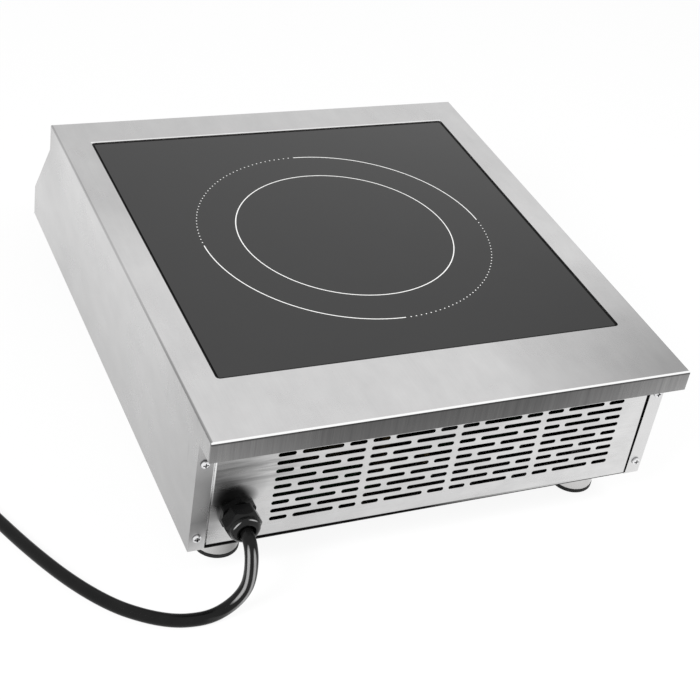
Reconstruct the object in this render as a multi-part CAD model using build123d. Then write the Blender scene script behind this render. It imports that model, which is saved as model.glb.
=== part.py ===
from build123d import *
import os
from math import asin, cos, degrees, pi, radians, sin, sqrt, tan

# Counter-top induction cooker of folded stainless steel, one glass plate, four round feet.
# Millimetres. +Z is up, the counter is z = 0, the controls face -Y and the mains lead leaves at +Y.

# Casing sizes
body_width = 340.0
top_depth = 384.2
front_reach = 43.0
body_height = 104.9
foot_height = 28.0
sheet = 1.0
top_bend = 1.5
front_drop = 21.4
toe_height = 24.9
lip_height = 15.6
lip_overhang = 18.5
lip_hem = 6.0
drop_hem = 9.0
flange_width = 11.0
base_flange = 12.0
panel_return = 12.0
seam = 0.3

# Glass plate and its seal
opening_side_margin = 22.6
opening_setback = 31.5
opening_back_margin = 57.9
opening_corner = 3.0
glass_thick = 4.0
glass_sink = 0.6
seal_joint = 1.5
seal_sink = 0.35
seal_bed = 0.4
ledge_width = 8.0

# Rear panel and its vent
panel_gap = 0.8
panel_gap_wide = 1.7
panel_proud = 0.6
panel_lift = 2.2
base_reach = 0.3
slot_rows = 9
slot_row_pitch = 6.69
slot_height = 3.2
slot_long = 28.4
slot_gap = 3.9
vent_blocks = 4
block_gap = 4.0
vent_shift = -10.3
vent_top_drop = 34.1

# Base plate grilles
grille_radius = 41.0
grille_slot = 3.0
grille_pitch = 6.5
grille_rib = 5.0
grille_end = 2.0

# Fasteners
hole_play = 0.1
small_screw = 1.5
mid_screw = 2.0
head_rise = 1.9
flange_screw_inset = 5.2
flange_screw_top = 32.3
flange_screw_foot = 11.0
flange_screw_length = 6.0
base_screw_inset = 6.0
base_screw_margin = 45.0
base_screw_count = 4
base_screw_length = 6.0
return_screw_span = 120.0

# Feet
foot_radius = 15.3
foot_inset_x = 32.0
foot_inset_y = 31.4
cup_wall = 1.2
pad_rim = 3.2
pad_flare = 0.3
pad_plug = 9.0
foot_bolt = 3.0
foot_bolt_head = 4.0
foot_bolt_length = 9.0
foot_nut_flats = 10.0
foot_nut_height = 4.5

# Gland
gland_inset = 30.0
gland_rise = 28.5
gland_flats = 22.0
gland_corner = 12.3
gland_thread = 9.0
gland_bore = 5.6
gland_hex = 5.1
gland_groove = 0.8
gland_body_turn = 30.0
gland_nut_hex = 10.2
gland_bevel = 2.2
gland_dome = 4.6
gland_dome_bulge = 0.18
gland_thread_stop = 2.0
gland_mouth = 5.4
gland_flare = 0.6
gland_face = 6.9
gland_neck = 10.2
gland_tail = 12.0
locknut_height = 4.0
seal_front = 10.3
seal_length = 6.0

# Mains lead
cord_diameter = 8.8
sheath_inside = 16.0
core_radius = 1.4

# Controls on the slope
fascia_margin = 40.0
fascia_height = 58.0
fascia_thick = 1.0
fascia_corner = 4.0
control_play = 0.3
control_gaps = [7, 7, 8, 7, 7, 14, 10]
window_width = 56.0
window_height = 24.0
window_corner = 2.0
digits_width = 50.3
digits_height = 19.0
board_drop = 9.0
board_thick = 1.6
board_margin = 8.0
display_board_height = 46.0
button_radius = 6.0
button_proud = 2.0
button_collar = 7.5
collar_thick = 1.5
stem_radius = 2.5
button_travel = 1.2
switch_side = 12.0
switch_height = 4.3
switch_floor = 0.5
knob_radius = 18.0
knob_top_radius = 16.6
knob_height = 17.0
knob_lift = 0.6
knob_flutes = 24
knob_flute_radius = 1.1
knob_pocket = 7.2
pointer_width = 2.0
pointer_length = 11.0
pointer_sink = 0.8
pointer_proud = 0.3
knob_rest_turn = 140.0
shaft_radius = 3.0
shaft_play = 0.05
bushing_wall = 0.5
bushing_proud = 4.0
pot_radius = 8.5
pot_nut_flats = 10.0
pot_nut_height = 2.0

# Induction coil
coil_turns = 22
coil_wire = 1.3
coil_pitch = 3.3
coil_inner = 26.0
disc_thick = 1.5
disc_overlap = 5.0
carrier_floor = 3.0
carrier_rim = 3.0
carrier_ear = 11.0
carrier_hub = 12.0
sensor_radius = 6.0
sensor_height = 9.0
sensor_play = 0.3
holder_wall = 1.5
holder_flange = 5.0
ferrite_count = 8
ferrite_length = 58.0
ferrite_width = 14.0
ferrite_thick = 5.0
post_radius = 5.0
post_count = 3
lead_radius = 1.8

# Boards inside
board_lift = 8.0
board_edge = 13.0
power_board_width = 140.0
power_board_depth = 150.0
filter_board_width = 84.0
filter_board_depth = 96.0
filter_back_margin = 20.0
power_back_margin = 46.0
standoff_radius = 3.5
standoff_inset = 5.0
sink_depth = 100.0
sink_base = 5.0
sink_height = 42.0
sink_fins = 10
fin_thick = 1.8
chip_thick = 5.0
chip_width = 16.0
chip_depth = 21.0
sink_leg = 3.0
sink_gap = 2.6
sink_side_gap = 7.4
chip_pitch = 28.0
chip_leg_pitch = 5.4
chip_leg = 0.6

# Parts on the boards
strip_margin = 5.0
capacitor_width = 38.0
capacitor_depth = 20.0
capacitor_height = 30.0
capacitor_pitch = 26.0
capacitor_start = 26.0
transformer_width = 30.0
transformer_depth = 26.0
transformer_height = 24.0
fuse_width = 14.0
fuse_length = 30.0
fuse_height = 12.0
fuse_margin = 19.0
small_choke = 12.0
small_choke_margin = 3.0
small_choke_shift = 8.0
terminal_radius = 4.0
terminal_height = 6.0
left_terminal_margin = 20.0
right_terminal_margin = 14.0
filter_choke = 15.0
filter_choke_x = 22.0
filter_choke_y = 24.0
suppressor_width = 30.0
suppressor_depth = 14.0
suppressor_gap = 12.0
relay_width = 20.0
relay_length = 28.0
relay_height = 20.0
relay_margin = 8.0
block_width = 18.0
block_length = 30.0
block_margin = 3.0
block_back = 12.0
block_hole = 2.6
earth_shift = 10.0
earth_back = 46.0

# Fans
fan_side = 92.0
fan_height = 25.0
fan_corner = 4.0
fan_duct = 44.0
fan_centre_x = 62.0
fan_front_gap = 27.0
fan_screw_pitch = 82.5
fan_hub = 17.0
fan_strut = 3.0
fan_pin = 1.5
stator_radius = 13.0
stator_height = 9.7
rotor_wall = 2.0
rotor_cap = 3.0
rotor_sleeve = 3.5
fan_run_gap = 0.3
blade_count = 7
blade_chord = 23.0
blade_thick = 1.4
blade_pitch = 35.0
blade_tip_gap = 1.0

# Places worked out from the sizes
half_w = body_width / 2
total_depth = front_reach + top_depth
front_y = -total_depth / 2
rear_y = total_depth / 2
top_front_y = front_y + front_reach
back_y = rear_y - lip_overhang
base_z = foot_height
top_z = base_z + body_height
plate_z = base_z + sheet
deck_z = plate_z + sheet
inner_w = half_w - sheet - seam
slope_top_z = top_z - front_drop
slope_foot_z = base_z + toe_height
slope_length = sqrt(front_reach**2 + (slope_top_z - slope_foot_z) ** 2)
slope_run = front_reach / slope_length
slope_rise = (slope_top_z - slope_foot_z) / slope_length
panel_out = back_y + panel_proud
panel_right = half_w - flange_width - panel_gap
panel_left = panel_gap_wide + flange_width - half_w
opening_width = body_width - 2 * opening_side_margin
opening_depth = top_depth - opening_setback - opening_back_margin
opening_y = top_front_y + opening_setback + opening_depth / 2
glass_top = top_z - glass_sink
glass_bottom = glass_top - glass_thick
ledge_z = glass_bottom - seal_bed
fascia_width = body_width - 2 * fascia_margin
gland_x = half_w - gland_inset
gland_z = base_z + gland_rise
foot_x = half_w - foot_inset_x
foot_front_y = front_y + foot_inset_y
foot_back_y = back_y - foot_inset_y
foot_places = [(x, y) for x in (-foot_x, foot_x) for y in (foot_front_y, foot_back_y)]
fan_y = front_y + fan_front_gap + fan_side / 2
board_z = deck_z + board_lift
board_top = board_z + board_thick
coil_outer = coil_inner + coil_turns * coil_pitch
disc_radius = coil_outer + coil_wire + disc_overlap
disc_bottom = glass_bottom - disc_thick
carrier_top = disc_bottom - 2 * coil_wire - hole_play
carrier_bottom = carrier_top - carrier_floor
coil_z = carrier_top + coil_wire
post_ring = disc_radius + post_radius
post_places = [
    (post_ring * cos(2 * pi * k / post_count + pi / 2), opening_y + post_ring * sin(2 * pi * k / post_count + pi / 2))
    for k in range(post_count)
]



def control_centres():
    """Places along the slope: the free width of the fascia is shared out as gaps, left to right."""
    button = 2 * button_radius
    widths = [button, window_width, button, button, button, 2 * knob_radius]
    share = (fascia_width - sum(widths)) / sum(control_gaps)
    centres = []
    edge = -fascia_width / 2
    for gap, width in zip(control_gaps, widths):
        edge += gap * share + width
        centres.append(edge - width / 2)
    return centres


power_u, window_u, mode_u, minus_u, plus_u, knob_u = control_centres()

low = (Align.CENTER, Align.CENTER, Align.MIN)
slope_plane = Plane(
    origin=(0, (front_y + top_front_y) / 2, (slope_foot_z + slope_top_z) / 2),
    x_dir=(1, 0, 0),
    z_dir=(0, -slope_rise, slope_run),
)


def box(x0, x1, y0, y1, z0, z1):
    return Pos((x0 + x1) / 2, (y0 + y1) / 2, (z0 + z1) / 2) * Box(abs(x1 - x0), abs(y1 - y0), abs(z1 - z0))


def disc(radius, z0, z1, x=0.0, y=0.0):
    return Pos(x, y, z0) * Cylinder(radius, z1 - z0, align=low)


def hex_prism(flats, z0, z1):
    return Pos(0, 0, z0) * extrude(RegularPolygon(flats / 2, 6, major_radius=False), z1 - z0)


def both_sides(shape):
    return [shape, mirror(shape, about=Plane.YZ)]


def fuse(shapes):
    first, *rest = shapes
    return first.fuse(*rest) if rest else first


def on_slope(u, v, w=0.0):
    """Place on the control slope: u to the right, v up the slope, w out from the panel's face."""
    return slope_plane.location * Pos(u, v, w)


def facing_back(x, y, z):
    """Place whose own +Z points along +Y."""
    return Pos(x, y, z) * Rot(-90, 0, 0)


def facing_down(x, y, z):
    return Pos(x, y, z) * Rot(180, 0, 0)


def pan_screw(shank, length, rise=head_rise):
    """Cross-recess pan-head screw: its head stands on z = 0, its shank goes down."""
    head_radius = 2 * shank
    head = Cylinder(head_radius, rise, align=low)
    head = fillet(head.edges().sort_by(Axis.Z)[-1], 0.6 * rise)
    cross = Box(1.2 * head_radius, 0.3 * head_radius, rise) + Box(0.3 * head_radius, 1.2 * head_radius, rise)
    head = head - Pos(0, 0, rise) * cross
    return head + Pos(0, 0, -length) * Cylinder(shank, length, align=low)


# Cover: top plate, side walls, front drop, rear lip, flanges and the sunk ledge for the glass
def flange_screw_places():
    heights = (top_z - flange_screw_top, base_z + flange_screw_foot)
    return [(s * (half_w - flange_screw_inset), z) for s in (-1, 1) for z in heights]


def base_screw_places():
    span = back_y - front_y - 2 * base_screw_margin
    ys = [front_y + base_screw_margin + span * k / (base_screw_count - 1) for k in range(base_screw_count)]
    return [(s * (half_w - base_screw_inset), y) for s in (-1, 1) for y in ys]


def return_screw_places():
    ys = (front_y + panel_return * 0.6, back_y - panel_return * 0.6)
    return [(x, y) for y in ys for x in (-return_screw_span, 0.0, return_screw_span)]


def opening_slab(grow, corner, z0, z1):
    """Slab with the outline of the opening in the top plate, made larger or smaller all round."""
    outline = RectangleRounded(opening_width + 2 * grow, opening_depth + 2 * grow, corner)
    return Pos(0, opening_y, z0) * extrude(outline, z1 - z0)


def make_top_cover():
    profile = [
        (top_front_y, top_z),
        (top_front_y, slope_top_z),
        (front_y, slope_foot_z),
        (front_y, base_z),
        (back_y, base_z),
        (back_y, top_z - lip_height),
        (rear_y, top_z - lip_height),
        (rear_y, top_z),
    ]
    wall = extrude(Plane.YZ * Polygon(*profile, align=None), sheet)
    plates = [
        Pos(half_w - sheet, 0, 0) * wall,
        Pos(-half_w, 0, 0) * wall,
        box(-half_w, half_w, top_front_y, rear_y, top_z - sheet, top_z),
        box(-half_w, half_w, top_front_y, top_front_y + sheet, slope_top_z, top_z),
        box(-half_w, half_w, top_front_y, top_front_y + drop_hem, slope_top_z, slope_top_z + sheet),
        box(-half_w, half_w, rear_y - sheet, rear_y, top_z - lip_height, top_z),
        box(-half_w, half_w, rear_y - lip_hem, rear_y, top_z - lip_height, top_z - lip_height + sheet),
    ]
    rear_flange = box(half_w - flange_width, half_w, back_y - sheet, back_y, base_z, top_z)
    under_flange = box(half_w - base_flange, half_w, front_y + sheet + seam, back_y, base_z, plate_z)
    cover = fuse(plates + both_sides(rear_flange) + both_sides(under_flange))

    outer_rim = cover.edges().filter_by_position(Axis.Z, top_z - 0.01, top_z + 0.01)
    cover = fillet(outer_rim, top_bend)

    tray = opening_slab(sheet, opening_corner + sheet, ledge_z - sheet, top_z - sheet / 2)
    cover = cover + tray
    cover = cover - opening_slab(0, opening_corner, ledge_z, top_z + sheet)
    cover = cover - opening_slab(-ledge_width, opening_corner, ledge_z - 2 * sheet, ledge_z + sheet)
    for x, z in flange_screw_places():
        cover = cover - facing_back(x, back_y - 2 * sheet, z) * Cylinder(small_screw + hole_play, 4 * sheet, align=low)
    for x, y in base_screw_places():
        cover = cover - disc(small_screw + hole_play, base_z - sheet, plate_z + sheet, x, y)
    return cover


# Front panel: the control slope, the toe and a return over the base plate
def make_front_panel():
    inner_top_y = top_front_y + sheet / slope_rise
    inner_foot_y = front_y + sheet
    inner_foot_z = slope_top_z + (slope_rise * (inner_foot_y - top_front_y) - sheet) / slope_run
    section = [
        (top_front_y, slope_top_z),
        (front_y, slope_foot_z),
        (front_y, base_z),
        (inner_foot_y, base_z),
        (inner_foot_y, inner_foot_z),
        (inner_top_y, slope_top_z),
    ]
    panel = Pos(-inner_w, 0, 0) * extrude(Plane.YZ * Polygon(*section, align=None), 2 * inner_w)
    panel = panel + box(-inner_w, inner_w, front_y, front_y + panel_return, deck_z, deck_z + sheet)
    for u in (power_u, mode_u, minus_u, plus_u):
        panel = panel - on_slope(u, 0) * Cylinder(button_radius + control_play, 4 * sheet)
    panel = panel - on_slope(knob_u, 0) * Cylinder(bushing_radius() + 0.2, 4 * sheet)
    panel = panel - on_slope(window_u, 0, -2 * sheet) * window_slab(control_play, 4 * sheet)
    for x, y in return_screw_places()[:3]:
        panel = panel - disc(small_screw + hole_play, plate_z, deck_z + 2 * sheet, x, y)
    return panel


def bushing_radius():
    return shaft_radius + shaft_play + bushing_wall


def window_slab(grow, thick):
    outline = RectangleRounded(window_width + 2 * grow, window_height + 2 * grow, window_corner + grow)
    return extrude(outline, thick)


# Rear panel: stands proud between the flanges, its side tabs lie behind them, its foot rests on the base plate
def vent_sketch():
    block = 2 * slot_long + slot_gap
    slot_short = (slot_long - slot_gap) / 2
    long_slot = SlotOverall(slot_long, slot_height)
    short_slot = SlotOverall(slot_short, slot_height)
    slots = []
    for row in range(slot_rows):
        z = top_z - vent_top_drop - row * slot_row_pitch
        for n in range(vent_blocks):
            x = vent_shift + (n - (vent_blocks - 1) / 2) * (block + block_gap)
            if row % 2 == 0:
                side = (block - slot_short) / 2
                slots += [Pos(x - side, z) * short_slot, Pos(x, z) * long_slot, Pos(x + side, z) * short_slot]
            else:
                side = (slot_long + slot_gap) / 2
                slots += [Pos(x - side, z) * long_slot, Pos(x + side, z) * long_slot]
    return Sketch() + slots


def make_rear_panel():
    tab_y = back_y - sheet
    low_z = base_z + panel_lift
    high_z = top_z - sheet
    plates = [
        box(panel_left, panel_right, panel_out - sheet, panel_out, low_z, high_z),
        box(panel_left, panel_right, back_y - panel_return, panel_out, deck_z, deck_z + sheet),
        box(panel_left, panel_right, back_y - panel_return, panel_out, high_z - sheet, high_z),
        box(panel_right - sheet, panel_right, tab_y - sheet, panel_out, low_z, high_z),
        box(panel_right - sheet, inner_w, tab_y - sheet, tab_y, low_z, high_z),
        box(panel_left, panel_left + sheet, tab_y - sheet, panel_out, low_z, high_z),
        box(-inner_w, panel_left + sheet, tab_y - sheet, tab_y, low_z, high_z),
    ]
    panel = fuse(plates)
    panel = panel - extrude(Plane.XZ.offset(-panel_out - sheet) * vent_sketch(), 3 * sheet)
    panel = panel - facing_back(gland_x, back_y - 2 * sheet, gland_z) * Cylinder(
        gland_thread + hole_play, 4 * sheet, align=low
    )
    for x, z in flange_screw_places():
        panel = panel - facing_back(x, tab_y - 2 * sheet, z) * Cylinder(small_screw + hole_play, 4 * sheet, align=low)
    for x, y in return_screw_places()[3:]:
        panel = panel - disc(small_screw + hole_play, plate_z, deck_z + 2 * sheet, x, y)
    return panel


# Base plate with a round grille of slots under each fan
def grille_sketch():
    rows = int(grille_radius / grille_pitch)
    slots = []
    for k in range(-rows, rows + 1):
        v = k * grille_pitch
        half = sqrt(grille_radius**2 - v**2) - grille_end
        length = half - grille_rib / 2
        if length > 2 * grille_slot:
            slot = SlotOverall(length, grille_slot)
            middle = grille_rib / 2 + length / 2
            slots += [Pos(-middle, v) * slot, Pos(middle, v) * slot]
    return Sketch() + slots


def fan_screw_places():
    half = fan_screw_pitch / 2
    centres = [(s * fan_centre_x, fan_y) for s in (-1, 1)]
    return [(x + a * half, y + b * half) for x, y in centres for a in (-1, 1) for b in (-1, 1)]


def make_base_plate():
    rear_edge = back_y - 2 * sheet - seam
    plate = box(-inner_w, inner_w, front_y + sheet + seam, rear_edge, plate_z, deck_z)
    plate = plate + box(panel_left, panel_right, rear_edge - sheet, panel_out - base_reach, plate_z, deck_z)
    grille = extrude(grille_sketch(), 4 * sheet)
    for s in (-1, 1):
        plate = plate - Pos(s * fan_centre_x, fan_y, plate_z - sheet) * grille
    small = base_screw_places() + return_screw_places() + board_places()
    holes = [disc(small_screw + hole_play, plate_z - sheet, deck_z + sheet, x, y) for x, y in small]
    wide = fan_screw_places() + post_places + [earth_place]
    holes += [disc(mid_screw + hole_play, plate_z - sheet, deck_z + sheet, x, y) for x, y in wide]
    holes += [disc(foot_bolt + hole_play, plate_z - sheet, deck_z + sheet, x, y) for x, y in foot_places]
    return plate - holes


def make_casing_screws():
    screws = [facing_back(x, back_y, z) * pan_screw(small_screw, flange_screw_length) for x, z in flange_screw_places()]
    short = pan_screw(small_screw, base_screw_length)
    screws += [facing_down(x, y, base_z) * short for x, y in base_screw_places()]
    screws += [facing_down(x, y, plate_z) * short for x, y in return_screw_places()]
    return screws


# Glass plate and the silicone joint that holds it
def make_glass_plate():
    corner = opening_corner - seal_joint / 2
    plate = opening_slab(-seal_joint, corner, glass_bottom, glass_top)
    rim = plate.edges().filter_by_position(Axis.Z, glass_top - 0.01, glass_top + 0.01)
    return chamfer(rim, 0.4)


def make_glass_seal():
    corner = opening_corner - seal_joint / 2
    ring = opening_slab(0, opening_corner, ledge_z, glass_top - seal_sink)
    ring = ring - opening_slab(-seal_joint, corner, glass_bottom, glass_top)
    return ring - opening_slab(-ledge_width, opening_corner, ledge_z - 1, glass_top)


# Feet: steel cup, rubber pad pressed into it, bolt through the base plate and nut
def make_foot_cup():
    cup = Pos(0, 0, pad_rim) * Cylinder(foot_radius, plate_z - pad_rim, align=low)
    cup = fillet(cup.edges().sort_by(Axis.Z)[-1], 0.8)
    cup = cup - Pos(0, 0, pad_rim - 1) * Cylinder(foot_radius - cup_wall, plate_z - pad_rim - cup_wall + 1, align=low)
    return cup - disc(foot_bolt + hole_play, plate_z - 2 * cup_wall, plate_z + 1)


def make_foot_pad():
    rim = Cylinder(foot_radius + pad_flare, pad_rim, align=low)
    rim = fillet(rim.edges().sort_by(Axis.Z)[0], 0.8)
    return rim + disc(foot_radius - cup_wall - hole_play, 0.5, pad_rim + pad_plug)


def make_foot_bolt():
    under = plate_z - cup_wall
    bolt = hex_prism(foot_nut_flats, under - foot_bolt_head, under)
    bolt = bolt + disc(foot_bolt, under - 1, under + foot_bolt_length)
    nut = hex_prism(foot_nut_flats, deck_z, deck_z + foot_nut_height)
    nut = nut - disc(foot_bolt + hole_play / 2, deck_z - 1, deck_z + foot_nut_height + 1)
    return bolt, nut


# Cable gland: hexagonal body with its thread, domed nut, rubber seal, locknut inside
def gland_hexagon(z0, z1, turn=0.0):
    hexagon = Rot(0, 0, turn) * hex_prism(gland_flats, z0, z1)
    return hexagon & disc(gland_corner, z0, z1)


def gland_place():
    return facing_back(gland_x, panel_out, gland_z)


def make_gland_body():
    body = gland_hexagon(0, gland_hex - gland_groove, gland_body_turn)
    body = body + disc(gland_thread, -gland_tail, gland_hex + gland_nut_hex - gland_thread_stop)
    return gland_place() * (body - disc(gland_bore, -gland_tail - 1, gland_hex + gland_nut_hex))


def make_gland_nut():
    """Hexagon whose front corners are turned down to a shoulder, with a dome in front of it."""
    start = gland_hex
    shoulder = start + gland_nut_hex
    end = shoulder + gland_dome
    outline = [(gland_face, end), (0, end), (0, start), (gland_corner, start)]
    outline += [(gland_corner, shoulder - gland_bevel), (gland_neck, shoulder)]
    across = 0.5 - gland_dome_bulge
    along = 0.5 + gland_dome_bulge
    middle = (gland_neck - across * (gland_neck - gland_face), shoulder + along * gland_dome)
    section = make_face(Polyline(*outline) + ThreePointArc((gland_neck, shoulder), middle, (gland_face, end)))
    nut = revolve(Plane.XZ * section, Axis.Z) & hex_prism(gland_flats, start, end)
    thread_end = shoulder - gland_thread_stop + hole_play
    nut = nut - disc(gland_thread + hole_play, start - 1, thread_end)
    nut = nut - disc(gland_mouth, start, end + 1)
    flare = Cone(gland_mouth, gland_mouth + gland_flare, 2 * gland_flare, align=low)
    nut = nut - Pos(0, 0, end - 2 * gland_flare) * flare
    return gland_place() * nut


def make_gland_seal():
    ring = disc(gland_bore - hole_play, seal_front - seal_length, seal_front)
    return gland_place() * (ring - disc(cord_diameter / 2 + hole_play, 0, seal_front + 1))


def make_gland_locknut():
    top = -sheet
    nut = gland_hexagon(top - locknut_height, top)
    nut = nut - disc(gland_thread + hole_play, top - locknut_height - 1, top + 1)
    return gland_place() * nut


# Controls: fascia, window, digits, board, switches, buttons, knob
def make_control_fascia():
    plate = extrude(RectangleRounded(fascia_width, fascia_height, fascia_corner), fascia_thick)
    for u in (power_u, mode_u, minus_u, plus_u):
        plate = plate - Pos(u, 0, 0) * Cylinder(button_radius + control_play, 4 * fascia_thick)
    plate = plate - Pos(knob_u, 0, 0) * Cylinder(bushing_radius() + 0.2, 4 * fascia_thick)
    plate = plate - Pos(window_u, 0, -fascia_thick) * window_slab(hole_play, 4 * fascia_thick)
    return on_slope(0, 0) * plate


def make_display_window():
    return on_slope(window_u, 0, -sheet) * window_slab(0, sheet + fascia_thick)


def make_digit_display():
    module = Box(digits_width, digits_height, board_drop - sheet, align=low)
    return on_slope(window_u, 0, -board_drop) * module


def display_board_half():
    return fascia_width / 2 - board_margin, display_board_height / 2


def display_posts():
    half_u, half_v = display_board_half()
    inset = 1.5 * standoff_radius
    return [(a * (half_u - inset), b * (half_v - inset)) for a in (-1, 1) for b in (-1, 1)]


def make_display_board():
    half_u, half_v = display_board_half()
    board = Box(2 * half_u, 2 * half_v, board_thick, align=low)
    for u, v in display_posts():
        board = board - Pos(u, v, 0) * Cylinder(small_screw + hole_play, 4 * board_thick)
    return on_slope(0, 0, -board_drop - board_thick) * board


def make_display_standoff(u, v):
    post = Cylinder(standoff_radius, board_drop - sheet, align=low)
    post = post - Cylinder(small_screw + hole_play, board_drop - 2 * sheet, align=low)
    return on_slope(u, v, -board_drop) * post


def make_display_screw(u, v):
    screw = pan_screw(small_screw, board_thick + board_drop - 4 * sheet)
    return on_slope(u, v, -board_drop - board_thick) * Rot(180, 0, 0) * screw


def make_switch(u):
    body = Box(switch_side, switch_side, switch_height, align=low)
    body = body - Pos(0, 0, switch_floor) * Cylinder(stem_radius + control_play, switch_height, align=low)
    return on_slope(u, 0, -board_drop) * body


def make_button(u):
    cap_top = fascia_thick + button_proud
    cap = Pos(0, 0, -sheet) * Cylinder(button_radius, cap_top + sheet, align=low)
    cap = fillet(cap.edges().sort_by(Axis.Z)[-1], 0.8)
    collar = disc(button_collar, -sheet - collar_thick, -sheet)
    stem_end = -board_drop + switch_floor + button_travel + 4 * control_play
    return on_slope(u, 0) * (cap + collar + disc(stem_radius, stem_end, -sheet - collar_thick))


def knob_base():
    return fascia_thick + knob_lift


def shaft_top():
    return knob_base() + knob_height - 5.0


def make_knob():
    base = knob_base()
    cap = Pos(0, 0, base) * Cone(knob_radius, knob_top_radius, knob_height, align=low)
    cap = fillet(cap.edges().sort_by(Axis.Z)[-1], 1.5)
    flute = Pos(0, 0, base + 2.5) * Cylinder(knob_flute_radius, knob_height, align=low)
    cap = cap - [Rot(0, 0, 360 * k / knob_flutes) * Pos(knob_radius, 0, 0) * flute for k in range(knob_flutes)]
    cap = cap - disc(knob_pocket, 0, fascia_thick + bushing_proud + 2 * control_play)
    cap = cap - disc(shaft_radius + shaft_play, 0, shaft_top() + hole_play)
    cap = cap - pointer_block()
    return on_slope(knob_u, 0) * Rot(0, 0, knob_rest_turn) * cap


def pointer_block():
    top = knob_base() + knob_height
    outer = knob_top_radius - 2.0
    return box(-pointer_width / 2, pointer_width / 2, outer - pointer_length, outer, top - pointer_sink, top + pointer_proud)


def make_knob_pointer():
    return on_slope(knob_u, 0) * Rot(0, 0, knob_rest_turn) * pointer_block()


def make_knob_shaft():
    bottom = -board_drop + 2 * sheet
    return on_slope(knob_u, 0) * disc(shaft_radius, bottom, shaft_top())


def make_potentiometer():
    body = disc(pot_radius, -board_drop, -sheet) + disc(bushing_radius(), -sheet - 0.5, fascia_thick + bushing_proud)
    bore = disc(shaft_radius + shaft_play, -board_drop + 1.5 * sheet, fascia_thick + bushing_proud + 1)
    return on_slope(knob_u, 0) * (body - bore)


def make_pot_nut():
    nut = hex_prism(pot_nut_flats, fascia_thick, fascia_thick + pot_nut_height)
    return on_slope(knob_u, 0) * (nut - disc(bushing_radius() + hole_play / 2, 0, 4 * pot_nut_height))


# Winding paths
def arc_between(start, end, side):
    """Half circle from start to end that bulges along Y: +1 towards +Y, -1 towards -Y."""
    middle = (start + end) / 2 + Vector(0, side * (end - start).length / 2, 0)
    return ThreePointArc(start, middle, end)


def winding(centre_x, centre_y, radii, heights, first_side):
    """Points on alternating sides of the centre, joined by half circles."""
    points = [
        Vector(centre_x + (r if k % 2 == 0 else -r) * first_side, centre_y, z)
        for k, (r, z) in enumerate(zip(radii, heights))
    ]
    arcs = []
    for k, (start, end) in enumerate(zip(points, points[1:])):
        arcs.append(arc_between(start, end, first_side if k % 2 == 0 else -first_side))
    return points, arcs


def least_gap(path, diameter, skip):
    """Least clear distance between stretches of a path more than skip apart along it."""
    count = int(path.length / (diameter / 3))
    points = [path @ (k / count) for k in range(count + 1)]
    step = path.length / count
    far = int(skip / step)
    nearest = min((points[a] - points[b]).length for a in range(len(points)) for b in range(a + far, len(points)))
    return nearest - diameter


def tube(path, diameter):
    start = Plane(origin=path @ 0, z_dir=path % 0)
    return sweep(start * Circle(diameter / 2), path=path)


# Flat spiral of heavy litz wire, its carrier, ferrites, insulating disc and sensor
def make_induction_coil():
    radii = [coil_inner + coil_pitch * k / 2 for k in range(2 * coil_turns + 1)]
    points, arcs = winding(0, opening_y, radii, [coil_z] * len(radii), 1)
    path = Wire([arc.edge() for arc in arcs])
    return tube(path, 2 * coil_wire), points


def make_insulating_disc():
    ring = disc(disc_radius, disc_bottom, glass_bottom, 0, opening_y)
    return ring - disc(sensor_radius + sensor_play, disc_bottom - 1, glass_bottom + 1, 0, opening_y)


def make_coil_carrier(lead_places):
    plate = disc(disc_radius, carrier_bottom, carrier_top)
    rim = disc(disc_radius, carrier_bottom, disc_bottom) - disc(disc_radius - carrier_rim, carrier_bottom, disc_bottom)
    hub = disc(carrier_hub, carrier_bottom, disc_bottom)
    shape = plate + rim + hub
    for x, y in post_places:
        shape = shape + disc(carrier_ear, carrier_bottom, carrier_top, x, y - opening_y)
    shape = shape - (disc(disc_radius - carrier_rim, carrier_top, disc_bottom) - disc(carrier_hub, 0, top_z))
    for x, y in post_places:
        shape = shape - disc(mid_screw + hole_play, carrier_bottom - 1, top_z, x, y - opening_y)
    shape = shape - disc(sensor_radius + sensor_play + holder_wall + hole_play, carrier_bottom - 1, top_z)
    for x, y in lead_places:
        shape = shape - disc(lead_radius + sensor_play, carrier_bottom - 1, carrier_top + 1, x, y - opening_y)
    return Pos(0, opening_y, 0) * shape


def make_ferrites():
    bar = box(0, ferrite_length, -ferrite_width / 2, ferrite_width / 2, carrier_bottom - ferrite_thick, carrier_bottom)
    start = coil_inner + 8.0
    turn = 360 / ferrite_count
    return [Pos(0, opening_y, 0) * Rot(0, 0, turn * (k + 0.5)) * Pos(start, 0, 0) * bar for k in range(ferrite_count)]


def make_temperature_sensor():
    cap = disc(sensor_radius, glass_bottom - sensor_height, glass_bottom, 0, opening_y)
    return fillet(cap.edges().sort_by(Axis.Z)[0], 1.0)


def make_sensor_holder():
    floor_z = glass_bottom - sensor_height
    inner = sensor_radius + sensor_play
    cup = disc(inner + holder_wall, floor_z - holder_wall, disc_bottom - sensor_play, 0, opening_y)
    cup = cup - disc(inner, floor_z, glass_bottom, 0, opening_y)
    flange = disc(inner + holder_wall + holder_flange, carrier_bottom - holder_wall, carrier_bottom, 0, opening_y)
    flange = flange - disc(inner, floor_z, glass_bottom, 0, opening_y)
    return cup + flange


def make_coil_post(x, y):
    post = Pos(x, y, deck_z) * hex_prism(2 * post_radius, 0, carrier_bottom - deck_z)
    post = post - disc(mid_screw + hole_play, deck_z - 1, deck_z + 12, x, y)
    return post - disc(mid_screw + hole_play, carrier_bottom - 12, carrier_bottom + 1, x, y)


def make_coil_screws():
    screw = pan_screw(mid_screw, 8.0)
    tops = [Pos(x, y, carrier_top) * screw for x, y in post_places]
    return tops + [facing_down(x, y, plate_z) * screw for x, y in post_places]


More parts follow.
